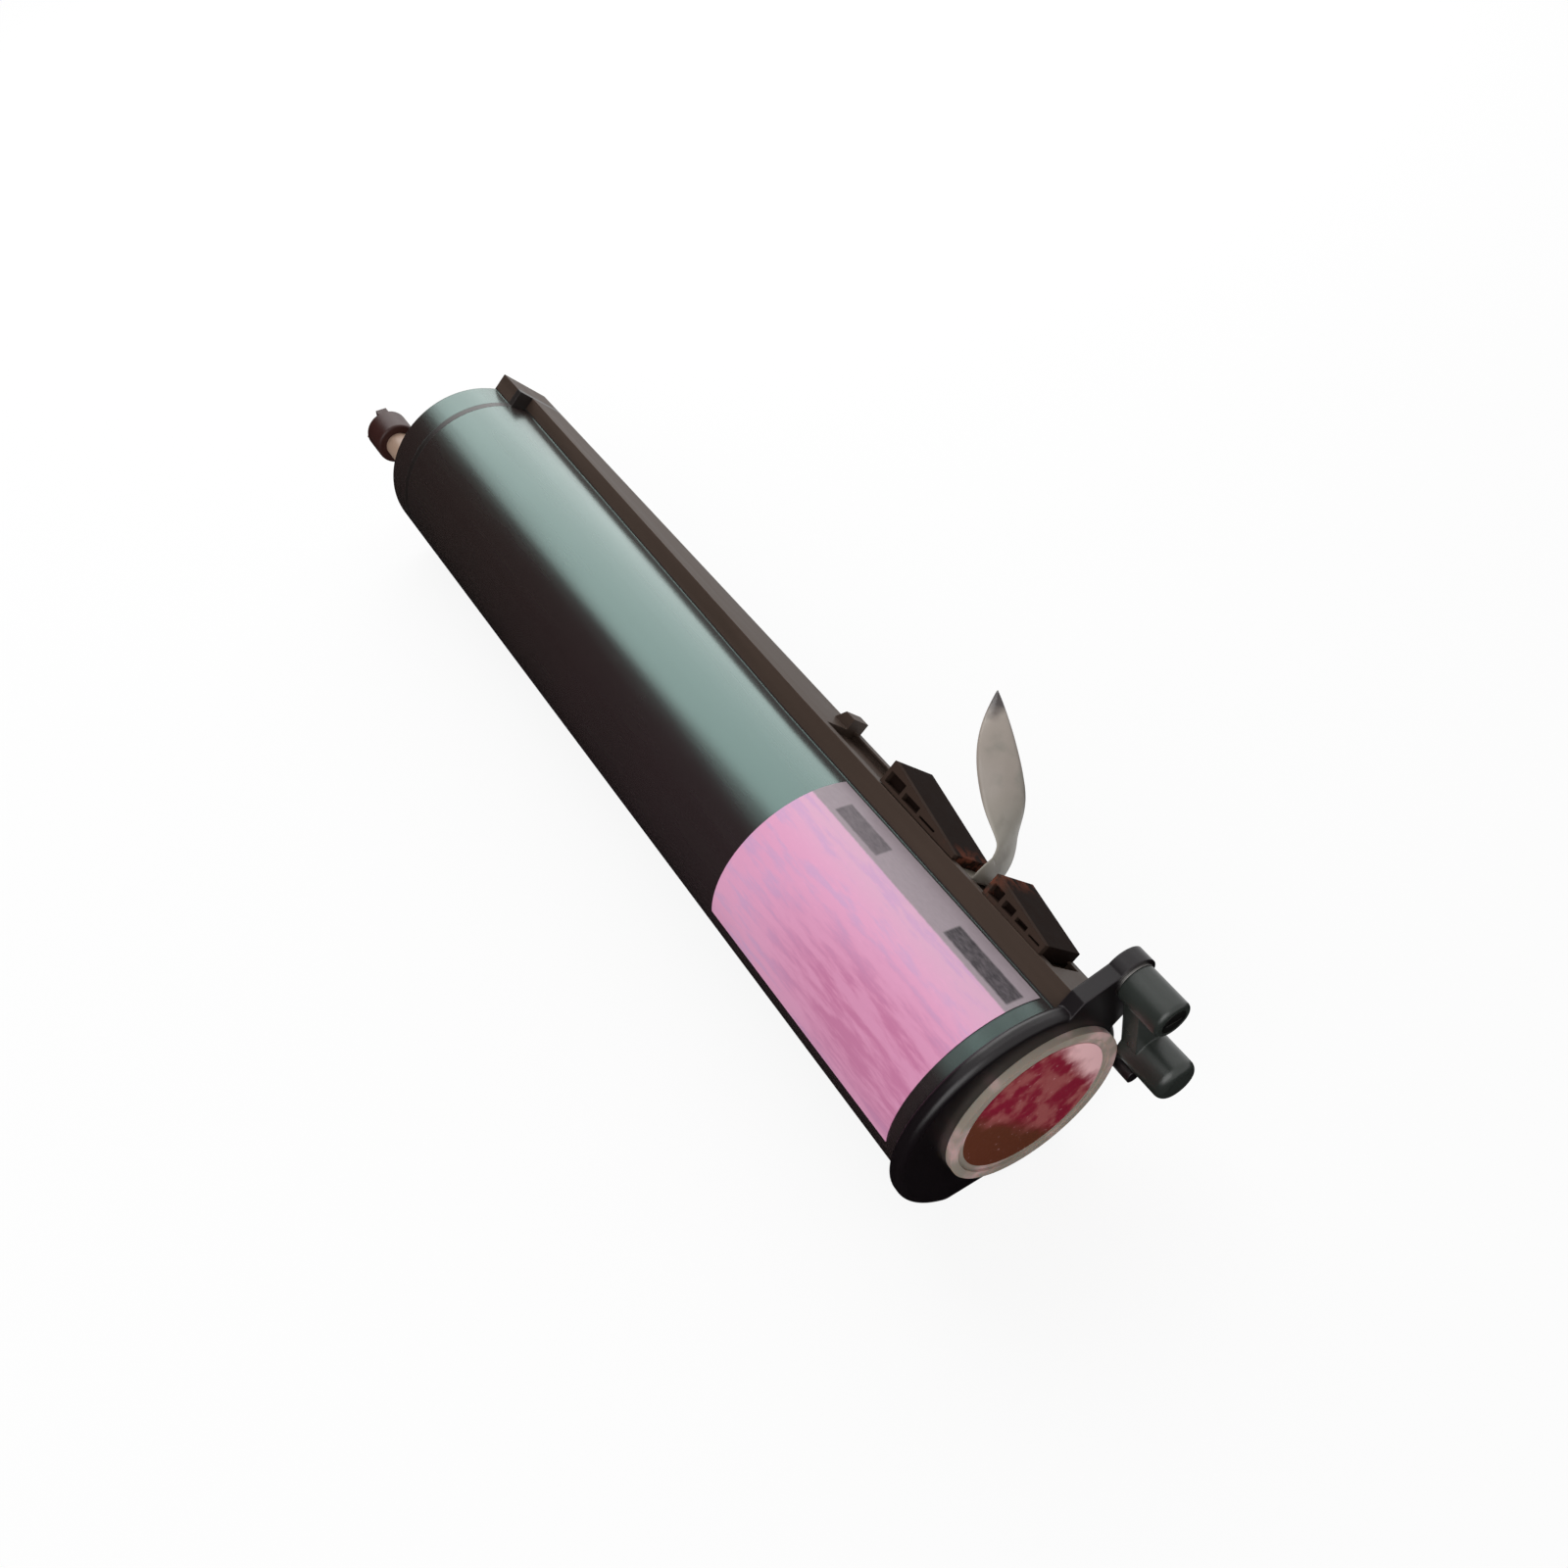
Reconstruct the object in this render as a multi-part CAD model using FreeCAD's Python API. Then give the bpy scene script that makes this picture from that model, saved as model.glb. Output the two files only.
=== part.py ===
import FreeCAD, Part
import math
import os

# Toner cartridge: a long round hopper with an auger channel, a shuttered port on a raised guide block,
# a geared rear end and a lever on the front flange. Millimetres, +Z up, +Y towards the drive end.
# The origin is the centre of the flat underside.

# Hopper tube
TUBE_R = 39.0
TUBE_WALL = 2.0
FLAT_DROP = 3.5
BODY_L = 410.0
FIT = 0.2
GAP = 0.3

# Front cap
FLANGE_PROUD = 4.0
FLANGE_T = 6.0
FLANGE_BEAD = 2.2
SPIGOT_L = 9.0
CAP_WALL = 2.2
LEDGE_W = 2.2
MOUTH_DEPTH = 9.0
MOUTH_X = 6.0
SPIDER_SET = 1.5
SPIDER_T = 3.0
SPIDER_ARM_W = 6.0
SPIDER_ARMS = 3
SHOULDER = 2.0

# Filler plug and its front disc, both set off the hopper's axis
PLUG_LIP = 4.4
PLUG_LIP_X = 8.0
PLUG_T = 1.8
PLUG_SKIRT = 1.8
PLUG_RIM_W = 3.2
PLUG_RIM_H = 0.8
PLUG_SEAL_T = 1.2
DISC_MARGIN = 2.2
STICKER_T = 0.25

# Guide block with the shutter track
BLOCK_ANGLE = 45.0
BLOCK_PROUD = 6.0
BLOCK_HALF_W = 12.5
BLOCK_NARROWING = 7.5
TAPER_SET = 5.0
TRACK_DEPTH = 3.0
RAIL_W = 2.3
LIP_T = 0.8
LIP_REACH = 1.2
TRACK_LEAD = 5.0
SHUTTER_L = 41.0
SHUTTER_TRAVEL = 35.0
STOP_L = 8.5
STOP_H = 4.6
STOP_W = 9.0
STOP_RAMP = 3.4
PORT_INSET = 8.0
PORT_L = 20.0
SEAL_T = 0.8
SEAL_RIM = 2.5
WEDGE_LOW = 1.9
WEDGE_HIGH = 9.3
GUARD_FRONT = 23.0
GUARD_L = 28.6
GUARD_LOW = 3.6
GUARD_HIGH = 8.2
SKIRT_T = 1.0
PLATE_T = 0.7
POCKET_WALL = 1.6
POCKET_DEPTH = 3.0
POCKETS = 4
WEDGE_INSET = 0.5

# Pull tape
TAPE_T = 0.25
TAPE_MARGIN = 1.1
TAPE_SLOT = 16.4
TAPE_SET = 8.0
TAPE_RISE = 51.0
TAPE_LEAN = 41.0
TAPE_DRIFT = 2.5
TAPE_TWIST = 60.0
TAPE_BOW = 1.5
TAPE_TURNED = 0.6
TAPE_STEPS = 10
TAPE_TIP = 0.25
TAPE_TIP_BLUNT = 1.04

# Gear train: the agitator gear drives the auger gear and is driven by the coupling pinion
MODULE = 1.0
COUPLING_TEETH = 12
AUGER_TEETH = 19
GEAR_W = 6.0
GEAR_SIDE_GAP = 2.0
TOOTH_THIN = 0.26
TIP_SHARE = 0.12
ROOT_SHARE = 0.35
ADDENDUM = 0.9
DEDENDUM = 1.2
COUPLING_ANGLE = 162.0
RIM_W = 4.0
HUB_WALL = 4.0
WEB_SHARE = 0.3
WEB_HOLES = 5
WEB_HOLE_R = 2.6

# Agitator and auger
SHAFT_R = 3.0
AGITATOR_BAR = 7.0
SWEEP_CLEAR = 1.5
FILM_REACH = 7.0
FILM_LAP = 4.0
LADDER_T = 2.4
LADDER_SET = 6.0
LADDER_RUNGS = 6
FILM_T = 0.3
FILM_SET = 10.0
AUGER_INSET = 7.5
AUGER_R = 8.0
AUGER_SHAFT_R = 2.5
AUGER_PITCH = 28.0
AUGER_BLADE_T = 1.4
AUGER_SET = 3.0
BLADE_ROOT = 0.6
CHANNEL_CLEAR = 0.5
BUSH_WALL = 2.0
SPIN_CLEAR = 0.05
PRESS = 0.02
SEAL_W = 2.5
CLIP_T = 1.0
CLIP_W = 2.5
CLIP_GROOVE = 0.6
CLIP_MOUTH = 0.8
SHAFT_END = 1.0
D_SHARE = 0.6

# Rear end
BULKHEAD_T = 3.0
REAR_SPIGOT_L = 8.0
REAR_RING_W = 2.2
COVER_L = 15.0
COVER_WALL = 2.0
COVER_FACE_T = 2.5
COVER_ROUND = 1.2
BOSS_WALL = 2.5
SCREW_R = 1.4
SCREW_HEAD_R = 3.0
SCREW_HEAD_H = 2.0
SCREW_HEAD_ROUND = 0.8
SCREW_BITE = 5.0
SCREW_INSET = 6.5
SCREW_BOSS_WALL = 1.6
SCREW_ANGLES = (110.0, 235.0, 330.0)
SLOT_W = 0.8
SLOT_L = 4.0
SLOT_DEPTH = 1.0

# Drive coupling
NECK_R = 6.0
NECK_L = 20.0
HEAD_R = 9.75
HEAD_L = 18.0
HEAD_ROUND = 1.5
DOG_L = 4.0
DOG_W = 5.0
DOG_INSET = 0.6
DOGS = 3
TIP_R = 4.0
TENON = 5.0
TENON_L = 9.0
FOOT_R = 2.0

# Lever on the front flange
HUB_RISE = 13.0
HUB_SIDE = 1.4
HUB_R = 7.0
HUB_L = 17.0
HUB_ROUND = 1.5
LEVER_REACH = 37.9
LEVER_LEAN = 12.2
KNOB_R = 8.0
KNOB_L = 21.0
KNOB_ROUND = 3.0
ARM_T = 7.0
ARM_HUB_W = 9.0
ARM_KNOB_W = 11.7
PIVOT_R = 2.5
PIVOT_HEAD_R = 4.6
PIVOT_HEAD_H = 2.2
PIVOT_SLOT_L = 6.4
WASHER_T = 0.8
EAR_WALL = 1.5
STOP_PIN_R = 3.0
STOP_PIN_L = 8.0
STOP_PIN_SIDE = 4.0
STOP_PAD_HALF_W = 9.0

# Label
LABEL_T = 0.25
LABEL_GLUE = 0.1
LABEL_FRONT = 12.0
LABEL_L = 106.0
LABEL_EDGE = 2.3
LABEL_TO = 178.0

# Levels worked out from the sizes above
V = FreeCAD.Vector
Y_AXIS = V(0, 1, 0)
ORIGIN = V(0, 0, 0)
OVER = 1.0
FAR = 200.0
AXIS_H = TUBE_R - FLAT_DROP
INNER_R = TUBE_R - TUBE_WALL
FLANGE_R = TUBE_R + FLANGE_PROUD
SPIGOT_R = INNER_R - FIT
SPIGOT_END = FLANGE_T + SPIGOT_L + SPIDER_T
MOUTH_R = SPIGOT_R - CAP_WALL - MOUTH_X
PLUG_R = MOUTH_R - FIT
PLUG_LIP_R = MOUTH_R + PLUG_LIP
DISC_R = PLUG_LIP_R - PLUG_RIM_W - DISC_MARGIN
SPIDER_FRONT = MOUTH_DEPTH + SPIDER_SET
SPIDER_REAR = SPIDER_FRONT + SPIDER_T
SHELL_REAR = BODY_L - COVER_L - BULKHEAD_T
PLATE_REAR = SHELL_REAR + BULKHEAD_T
REAR_SPIGOT = SHELL_REAR - REAR_SPIGOT_L
SEAL_FRONT = REAR_SPIGOT - SEAL_W
GEAR_FRONT = PLATE_REAR + GEAR_SIDE_GAP
GEAR_REAR = GEAR_FRONT + GEAR_W
AGITATOR_TEETH = round(2 * (TUBE_R - AUGER_INSET) / MODULE) - AUGER_TEETH
AUGER_DISTANCE = MODULE * (AGITATOR_TEETH + AUGER_TEETH) / 2
COUPLING_DISTANCE = MODULE * (AGITATOR_TEETH + COUPLING_TEETH) / 2
CHANNEL_R = AUGER_R + CHANNEL_CLEAR
SWEEP_R = AUGER_DISTANCE - AUGER_R - SWEEP_CLEAR
LADDER_R = SWEEP_R - FILM_REACH
SHAFT_BORE = SHAFT_R + SPIN_CLEAR
AUGER_BORE = AUGER_SHAFT_R + SPIN_CLEAR
NECK_BORE = NECK_R + SPIN_CLEAR
COUPLING_X = COUPLING_DISTANCE * math.cos(math.radians(COUPLING_ANGLE))
COUPLING_Z = COUPLING_DISTANCE * math.sin(math.radians(COUPLING_ANGLE))
BLOCK_SIN = math.sin(math.radians(BLOCK_ANGLE))
BLOCK_COS = math.cos(math.radians(BLOCK_ANGLE))
AUGER_X = AUGER_DISTANCE * BLOCK_SIN
AUGER_Z = AUGER_DISTANCE * BLOCK_COS
BLOCK_FACE = TUBE_R + BLOCK_PROUD
BLOCK_REAR_HALF_W = BLOCK_HALF_W - BLOCK_NARROWING
TRACK_FLOOR = BLOCK_FACE - TRACK_DEPTH
TRACK_HALF_W = BLOCK_HALF_W - RAIL_W
TRACK_FRONT = GUARD_FRONT - TRACK_LEAD
LIP_HALF_GAP = TRACK_HALF_W - LIP_REACH
LIP_UNDER = BLOCK_FACE - LIP_T
SHUTTER_FRONT = GUARD_FRONT + GUARD_L + TAPE_SLOT
SHUTTER_REAR = SHUTTER_FRONT + SHUTTER_L
TRACK_REAR = SHUTTER_REAR + SHUTTER_TRAVEL + GAP
TAPER_START = TRACK_REAR + STOP_L + TAPER_SET
PLATE_TOP = LIP_UNDER - FIT
PLATE_UNDER = PLATE_TOP - PLATE_T
FOOT_HALF_W = TRACK_HALF_W - GAP
SEAL_HALF_W = FOOT_HALF_W - SKIRT_T - GAP
PORT_HALF_W = SEAL_HALF_W - SEAL_RIM
PORT_FRONT = SHUTTER_FRONT + PORT_INSET
PORT_REAR = PORT_FRONT + PORT_L
TAPE_UNDER = TRACK_FLOOR + SEAL_T
TAPE_W = 2 * (SEAL_HALF_W - TAPE_MARGIN)
TAPE_FOLD = SHUTTER_FRONT - TAPE_SET
SCREW_CIRCLE_R = TUBE_R - SCREW_INSET
SCREW_BOSS_R = SCREW_R + SPIN_CLEAR + SCREW_BOSS_WALL
HUB_N = BLOCK_FACE + HUB_RISE
HUB_X = HUB_N * BLOCK_SIN + HUB_SIDE * BLOCK_COS
HUB_Z = HUB_N * BLOCK_COS - HUB_SIDE * BLOCK_SIN
EAR_R = HUB_R + EAR_WALL
LEVER_BACK = -WASHER_T - FIT
LEVER_DX = LEVER_REACH * math.sin(math.radians(LEVER_LEAN))
LEVER_DZ = -LEVER_REACH * math.cos(math.radians(LEVER_LEAN))
KNOB_X = HUB_X + LEVER_DX
KNOB_Z = HUB_Z + LEVER_DZ
STOP_PIN_X = KNOB_X - STOP_PIN_SIDE
STOP_PIN_Z = KNOB_Z - math.sqrt((KNOB_R + STOP_PIN_R + GAP) ** 2 - STOP_PIN_SIDE ** 2)
LABEL_FROM = BLOCK_ANGLE + math.degrees(math.asin(BLOCK_HALF_W / TUBE_R)) + LABEL_EDGE
LABEL_REAR = LABEL_FRONT + LABEL_L


# Placing and saving

def save(name, shape):
    placed = shape.copy()
    placed.translate(V(0, -BODY_L / 2, AXIS_H))
    placed.exportStep("parts/" + name + ".step")
    print(name, len(placed.Solids), placed.isValid(), round(placed.Volume, 1))


def rod(radius, start, end, x=0.0, z=0.0):
    return Part.makeCylinder(radius, end - start, V(x, start, z), Y_AXIS)


def ring(outer, inner, start, end, x=0.0, z=0.0):
    return rod(outer, start, end, x, z).cut(rod(inner, start - OVER, end + OVER, x, z))


def block(x0, x1, y0, y1, z0, z1):
    return Part.makeBox(x1 - x0, y1 - y0, z1 - z0, V(x0, y0, z0))


def side_block(side, near, far, y0, y1, z0, z1):
    """Block between two distances from the middle plane, on the side given by +1 or -1."""
    low, high = sorted((side * near, side * far))
    return block(low, high, y0, y1, z0, z1)


def prism_y(points, start, end):
    wire = Part.makePolygon([V(x, start, z) for x, z in points + points[:1]])
    return Part.Face(wire).extrude(V(0, end - start, 0))


def prism_x(points, half_width):
    wire = Part.makePolygon([V(-half_width, y, z) for y, z in points + points[:1]])
    return Part.Face(wire).extrude(V(2 * half_width, 0, 0))


def polar(radius, degrees):
    angle = math.radians(degrees)
    return V(radius * math.cos(angle), 0, radius * math.sin(angle))


def on_block(shape):
    """Turns a shape drawn with its height along Z onto the face of the slanted guide block."""
    return shape.rotated(ORIGIN, Y_AXIS, BLOCK_ANGLE)


def about_axis(shape, number, count):
    """Turns a shape to its place in a ring of like shapes."""
    return shape.rotated(ORIGIN, Y_AXIS, number * 360 / count)


def above_flat(shape, wall=0.0):
    """Cuts a round form to the flat underside, less the wall given."""
    keep = block(-FAR, FAR, -FAR, BODY_L + FAR, wall - AXIS_H, FAR)
    return shape.common(keep)


# Outer shell

def guide_block():
    """Raised block along the hopper, narrower on its upper side behind the shutter track."""
    base = TUBE_R - BLOCK_HALF_W
    outline = [
        V(BLOCK_HALF_W, FLANGE_T, base),
        V(BLOCK_HALF_W, SHELL_REAR, base),
        V(-BLOCK_REAR_HALF_W, SHELL_REAR, base),
        V(-BLOCK_HALF_W, TAPER_START, base),
        V(-BLOCK_HALF_W, FLANGE_T, base),
    ]
    face = Part.Face(Part.makePolygon(outline + outline[:1]))
    return on_block(face.extrude(V(0, 0, BLOCK_FACE - base)))


def shutter_stop():
    """Ramped stop at the track's end, on the lower rail."""
    stop = prism_x([
        (TRACK_REAR, LIP_UNDER),
        (TRACK_REAR, BLOCK_FACE + STOP_H),
        (TRACK_REAR + STOP_L - STOP_RAMP, BLOCK_FACE + STOP_H),
        (TRACK_REAR + STOP_L, LIP_UNDER),
    ], STOP_W / 2)
    stop.translate(V(BLOCK_HALF_W - STOP_W / 2, 0, 0))
    return on_block(stop)


def hopper_shell():
    outer = above_flat(rod(TUBE_R, FLANGE_T, SHELL_REAR))
    inside = above_flat(rod(INNER_R, 0, BODY_L), TUBE_WALL)
    channel = rod(CHANNEL_R, 0, BODY_L, AUGER_X, AUGER_Z)
    track = block(-TRACK_HALF_W, TRACK_HALF_W, TRACK_FRONT, TRACK_REAR, TRACK_FLOOR, LIP_UNDER)
    slot = block(-LIP_HALF_GAP, LIP_HALF_GAP, TRACK_FRONT, TRACK_REAR, TRACK_FLOOR, FAR)
    port = block(-PORT_HALF_W, PORT_HALF_W, PORT_FRONT, PORT_REAR, AUGER_DISTANCE, FAR)
    shell = outer.fuse(guide_block()).cut(inside.fuse(channel))
    shell = shell.cut(on_block(track.fuse(slot).fuse(port)))
    return shell.fuse(shutter_stop()).removeSplitter()


def body_label():
    inner = TUBE_R + LABEL_GLUE
    sleeve = ring(inner + LABEL_T, inner, LABEL_FRONT, LABEL_REAR)
    start = polar(FAR, LABEL_FROM)
    middle = polar(FAR, (LABEL_FROM + LABEL_TO) / 2)
    end = polar(FAR, LABEL_TO)
    arc = Part.Arc(start, middle, end).toShape()
    wire = Part.Wire([Part.makeLine(ORIGIN, start), arc, Part.makeLine(end, ORIGIN)])
    sector = Part.Face(wire).extrude(V(0, BODY_L, 0))
    return sleeve.common(sector)


# Front end

def ear():
    """Lug of the flange over the end of the guide block, with the lever's pivot at its top."""
    shoulder = BLOCK_HALF_W + SHOULDER
    lug = prism_y([
        (-shoulder, 0),
        (shoulder, 0),
        (shoulder, BLOCK_FACE + OVER),
        (HUB_SIDE + EAR_R, HUB_N),
        (HUB_SIDE - EAR_R, HUB_N),
        (-shoulder, BLOCK_FACE + OVER),
    ], 0, FLANGE_T)
    return on_block(lug).fuse(rod(EAR_R, 0, FLANGE_T, HUB_X, HUB_Z))


def stop_pin():
    """Pin that the lever's knob rests on, with its pad on the flange's rim."""
    reach = math.hypot(STOP_PIN_X, STOP_PIN_Z)
    ux = STOP_PIN_X / reach
    uz = STOP_PIN_Z / reach
    foot = SPIGOT_R - CAP_WALL / 2
    pad = prism_y([
        (ux * foot - uz * STOP_PAD_HALF_W, uz * foot + ux * STOP_PAD_HALF_W),
        (ux * foot + uz * STOP_PAD_HALF_W, uz * foot - ux * STOP_PAD_HALF_W),
        (STOP_PIN_X + uz * STOP_PIN_R, STOP_PIN_Z - ux * STOP_PIN_R),
        (STOP_PIN_X - uz * STOP_PIN_R, STOP_PIN_Z + ux * STOP_PIN_R),
    ], 0, FLANGE_T)
    return pad.fuse(rod(STOP_PIN_R, -STOP_PIN_L, FLANGE_T, STOP_PIN_X, STOP_PIN_Z))


def spider():
    """Hub on three arms that carries the agitator's front bush behind the plug."""
    body = rod(SHAFT_BORE + BUSH_WALL + BOSS_WALL, SPIDER_FRONT, SPIGOT_END)
    for number in range(SPIDER_ARMS):
        arm = block(-SPIDER_ARM_W / 2, SPIDER_ARM_W / 2, SPIDER_FRONT, SPIDER_REAR, 0, MOUTH_R)
        body = body.fuse(on_block(about_axis(arm, number, SPIDER_ARMS)))
    return body


def front_cap():
    disc = rod(FLANGE_R, 0, FLANGE_T)
    rims = [e for e in disc.Edges if e.BoundBox.YLength < GAP]
    cap = above_flat(disc.makeFillet(FLANGE_BEAD, rims)).fuse(ear()).fuse(stop_pin())
    cap = cap.fuse(above_flat(rod(SPIGOT_R, FLANGE_T, SPIGOT_END), TUBE_WALL + FIT))
    cap = cap.cut(rod(MOUTH_R, -OVER, MOUTH_DEPTH, MOUTH_X))
    cap = cap.cut(rod(MOUTH_R - LEDGE_W, MOUTH_DEPTH - OVER, SPIGOT_END + OVER, MOUTH_X))
    boss = rod(AUGER_BORE + BUSH_WALL + BOSS_WALL, MOUTH_DEPTH, SPIGOT_END, AUGER_X, AUGER_Z)
    cap = cap.fuse(spider()).fuse(boss)
    cap = cap.cut(rod(SHAFT_BORE + BUSH_WALL, 0, SPIGOT_END + OVER))
    cap = cap.cut(rod(AUGER_BORE + BUSH_WALL, SPIDER_FRONT, SPIGOT_END + OVER, AUGER_X, AUGER_Z))
    cap = cap.cut(rod(PIVOT_R, -OVER, FLANGE_T + OVER, HUB_X, HUB_Z))
    return cap.removeSplitter()


def filler_plug():
    """Plug with a skirt in the mouth, and a lip with a raised rim that covers the flange's face."""
    plug = rod(PLUG_LIP_R, -PLUG_T, 0, PLUG_LIP_X)
    plug = plug.fuse(ring(PLUG_R, PLUG_R - PLUG_SKIRT, -PLUG_T, MOUTH_DEPTH - PLUG_SEAL_T, MOUTH_X))
    rim_inner = PLUG_LIP_R - PLUG_RIM_W
    plug = plug.fuse(ring(PLUG_LIP_R, rim_inner, -PLUG_T - PLUG_RIM_H, -PLUG_T, PLUG_LIP_X))
    return plug.removeSplitter()


def plug_seal():
    inner = MOUTH_R - LEDGE_W + FIT
    return ring(PLUG_R, inner, MOUTH_DEPTH - PLUG_SEAL_T, MOUTH_DEPTH, MOUTH_X)


def plug_sticker():
    return rod(DISC_R, -PLUG_T - STICKER_T, -PLUG_T, PLUG_LIP_X)


# Guide block pieces

def wedge(front, length, low, high, gap):
    """Ramp over the rails, higher at its rear end, standing off the rails by the gap given."""
    rear = front + length
    bottom = BLOCK_FACE + gap
    outline = [(front, bottom), (rear, bottom), (rear, BLOCK_FACE + high), (front, BLOCK_FACE + low)]
    return prism_x(outline, BLOCK_HALF_W - WEDGE_INSET)


def track_foot(front, length):
    """Plate under the rail lips with a skirt down each side, and the neck between the lips."""
    rear = front + length
    neck_half = LIP_HALF_GAP - GAP
    foot = block(-FOOT_HALF_W, FOOT_HALF_W, front, rear, PLATE_UNDER, PLATE_TOP)
    foot = foot.fuse(block(-neck_half, neck_half, front, rear, PLATE_TOP, BLOCK_FACE + OVER))
    for side in (-1, 1):
        inner = FOOT_HALF_W - SKIRT_T
        foot = foot.fuse(side_block(side, inner, FOOT_HALF_W, front, rear, TRACK_FLOOR + GAP, PLATE_TOP))
    return foot


def grip_pockets(front, length, low, high):
    """Row of pockets in each long side of a wedge, with ribs left between them."""
    pockets = []
    pitch = (length - POCKET_WALL) / POCKETS
    bottom = BLOCK_FACE + POCKET_WALL
    for number in range(POCKETS):
        start = front + POCKET_WALL + number * pitch
        top = BLOCK_FACE + low + (high - low) * (start - front) / length - POCKET_WALL
        if top > bottom:
            for side in (-1, 1):
                inner = BLOCK_HALF_W - WEDGE_INSET - POCKET_DEPTH
                rear = start + pitch - POCKET_WALL
                pockets.append(side_block(side, inner, BLOCK_HALF_W, start, rear, bottom, top))
    return pockets


def slide_piece(front, length, low, high, gap):
    """Wedge with its foot in the track, as the shutter and the front guard both are."""
    body = wedge(front, length, low, high, gap).fuse(track_foot(front, length))
    for pocket in grip_pockets(front, length, low, high):
        body = body.cut(pocket)
    return on_block(body).removeSplitter()


def shutter():
    return slide_piece(SHUTTER_FRONT, SHUTTER_L, WEDGE_LOW, WEDGE_HIGH, GAP)


def front_guard():
    return slide_piece(GUARD_FRONT, GUARD_L, GUARD_LOW, GUARD_HIGH, 0)


def port_seal():
    front = PORT_FRONT - SEAL_RIM
    rear = PORT_REAR + SEAL_RIM
    pad = block(-SEAL_HALF_W, SEAL_HALF_W, front, rear, TRACK_FLOOR, TRACK_FLOOR + SEAL_T)
    hole = block(-PORT_HALF_W, PORT_HALF_W, PORT_FRONT, PORT_REAR, 0, FAR)
    return on_block(pad.cut(hole))


def tape_section(share):
    """Cross-section of the standing tape at a share of its height, turned about its own run."""
    y = TAPE_FOLD + TAPE_T / 2 + TAPE_LEAN * share ** TAPE_BOW
    centre = V(-TAPE_DRIFT * share, y, TAPE_UNDER + TAPE_T / 2 + TAPE_RISE * share)
    run = V(0, TAPE_BOW * TAPE_LEAN * share ** (TAPE_BOW - 1), TAPE_RISE)
    run.normalize()
    turn = math.radians(TAPE_TWIST) * min(1.0, share / TAPE_TURNED)
    across = V(-math.cos(turn), run.z * math.sin(turn), -run.y * math.sin(turn))
    into_tip = max(0.0, share - 1 + TAPE_TIP) / (TAPE_TIP * TAPE_TIP_BLUNT)
    half = across * (TAPE_W / 2 * math.sqrt(1 - into_tip ** 2))
    thick = run.cross(across) * (TAPE_T / 2)
    corners = [centre - half - thick, centre + half - thick, centre + half + thick, centre - half + thick]
    return Part.makePolygon(corners + corners[:1])


def pull_tape():
    """Tear strip: flat over the port under the shutter, then standing free and twisted by its fold."""
    rear = PORT_REAR + SEAL_RIM
    flat = block(-TAPE_W / 2, TAPE_W / 2, TAPE_FOLD, rear, TAPE_UNDER, TAPE_UNDER + TAPE_T)
    sections = [tape_section(number / TAPE_STEPS) for number in range(TAPE_STEPS + 1)]
    return on_block(flat.fuse(Part.makeLoft(sections, True, False)))


# Gears

def tooth_outline(teeth, phase):
    """Outline of a spur gear with straight-flanked teeth, one tooth centred on the phase angle."""
    pitch_r = MODULE * teeth / 2
    pitch = 2 * math.pi / teeth
    half_thin = TOOTH_THIN / pitch_r / 2
    root = (pitch_r - DEDENDUM * MODULE, pitch * ROOT_SHARE)
    flank = (pitch_r, pitch / 4 - half_thin)
    tip = (pitch_r + ADDENDUM * MODULE, pitch * TIP_SHARE)
    points = []
    for number in range(teeth):
        centre = math.radians(phase) + number * pitch
        for radius, offset in (root, flank, tip):
            points.append((radius * math.cos(centre - offset), radius * math.sin(centre - offset)))
        for radius, offset in (tip, flank, root):
            points.append((radius * math.cos(centre + offset), radius * math.sin(centre + offset)))
    return points


def mesh_phase(teeth, direction):
    """Tooth phase that sets a gap on a tooth of the agitator gear, which has a tooth at angle 0."""
    ahead = (direction * AGITATOR_TEETH / 360) % 1.0
    return direction + 180 + (ahead + 0.5) * 360 / teeth


def spur_gear(teeth, phase, x=0.0, z=0.0):
    gear = prism_y(tooth_outline(teeth, phase), GEAR_FRONT, GEAR_REAR)
    gear.translate(V(x, 0, z))
    return gear


def d_shaft(radius, start, end, spare=0.0, x=0.0, z=0.0):
    """Round shaft with one flat, for a gear to be driven by."""
    flat = z + radius * D_SHARE + spare
    full = rod(radius + spare, start, end, x, z)
    return full.cut(block(x - FAR, x + FAR, start - OVER, end + OVER, flat, z + FAR))


def agitator_gear():
    """Largest gear: a toothed rim and a hub on a thin web with round holes."""
    gear = spur_gear(AGITATOR_TEETH, 0)
    rim_inner = MODULE * AGITATOR_TEETH / 2 - RIM_W
    hub_r = SHAFT_R + HUB_WALL
    recess = GEAR_W * (1 - WEB_SHARE) / 2
    gear = gear.cut(ring(rim_inner, hub_r, GEAR_FRONT - OVER, GEAR_FRONT + recess))
    gear = gear.cut(ring(rim_inner, hub_r, GEAR_REAR - recess, GEAR_REAR + OVER))
    for number in range(WEB_HOLES):
        hole = rod(WEB_HOLE_R, GEAR_FRONT - OVER, GEAR_REAR + OVER, (rim_inner + hub_r) / 2)
        gear = gear.cut(about_axis(hole, number, WEB_HOLES))
    return gear.cut(d_shaft(SHAFT_R, 0, BODY_L, FIT / 2))


def auger_gear():
    gear = spur_gear(AUGER_TEETH, mesh_phase(AUGER_TEETH, 90 - BLOCK_ANGLE), AUGER_X, AUGER_Z)
    return gear.cut(d_shaft(AUGER_SHAFT_R, 0, BODY_L, FIT / 2, AUGER_X, AUGER_Z))


# Agitator and auger

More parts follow.
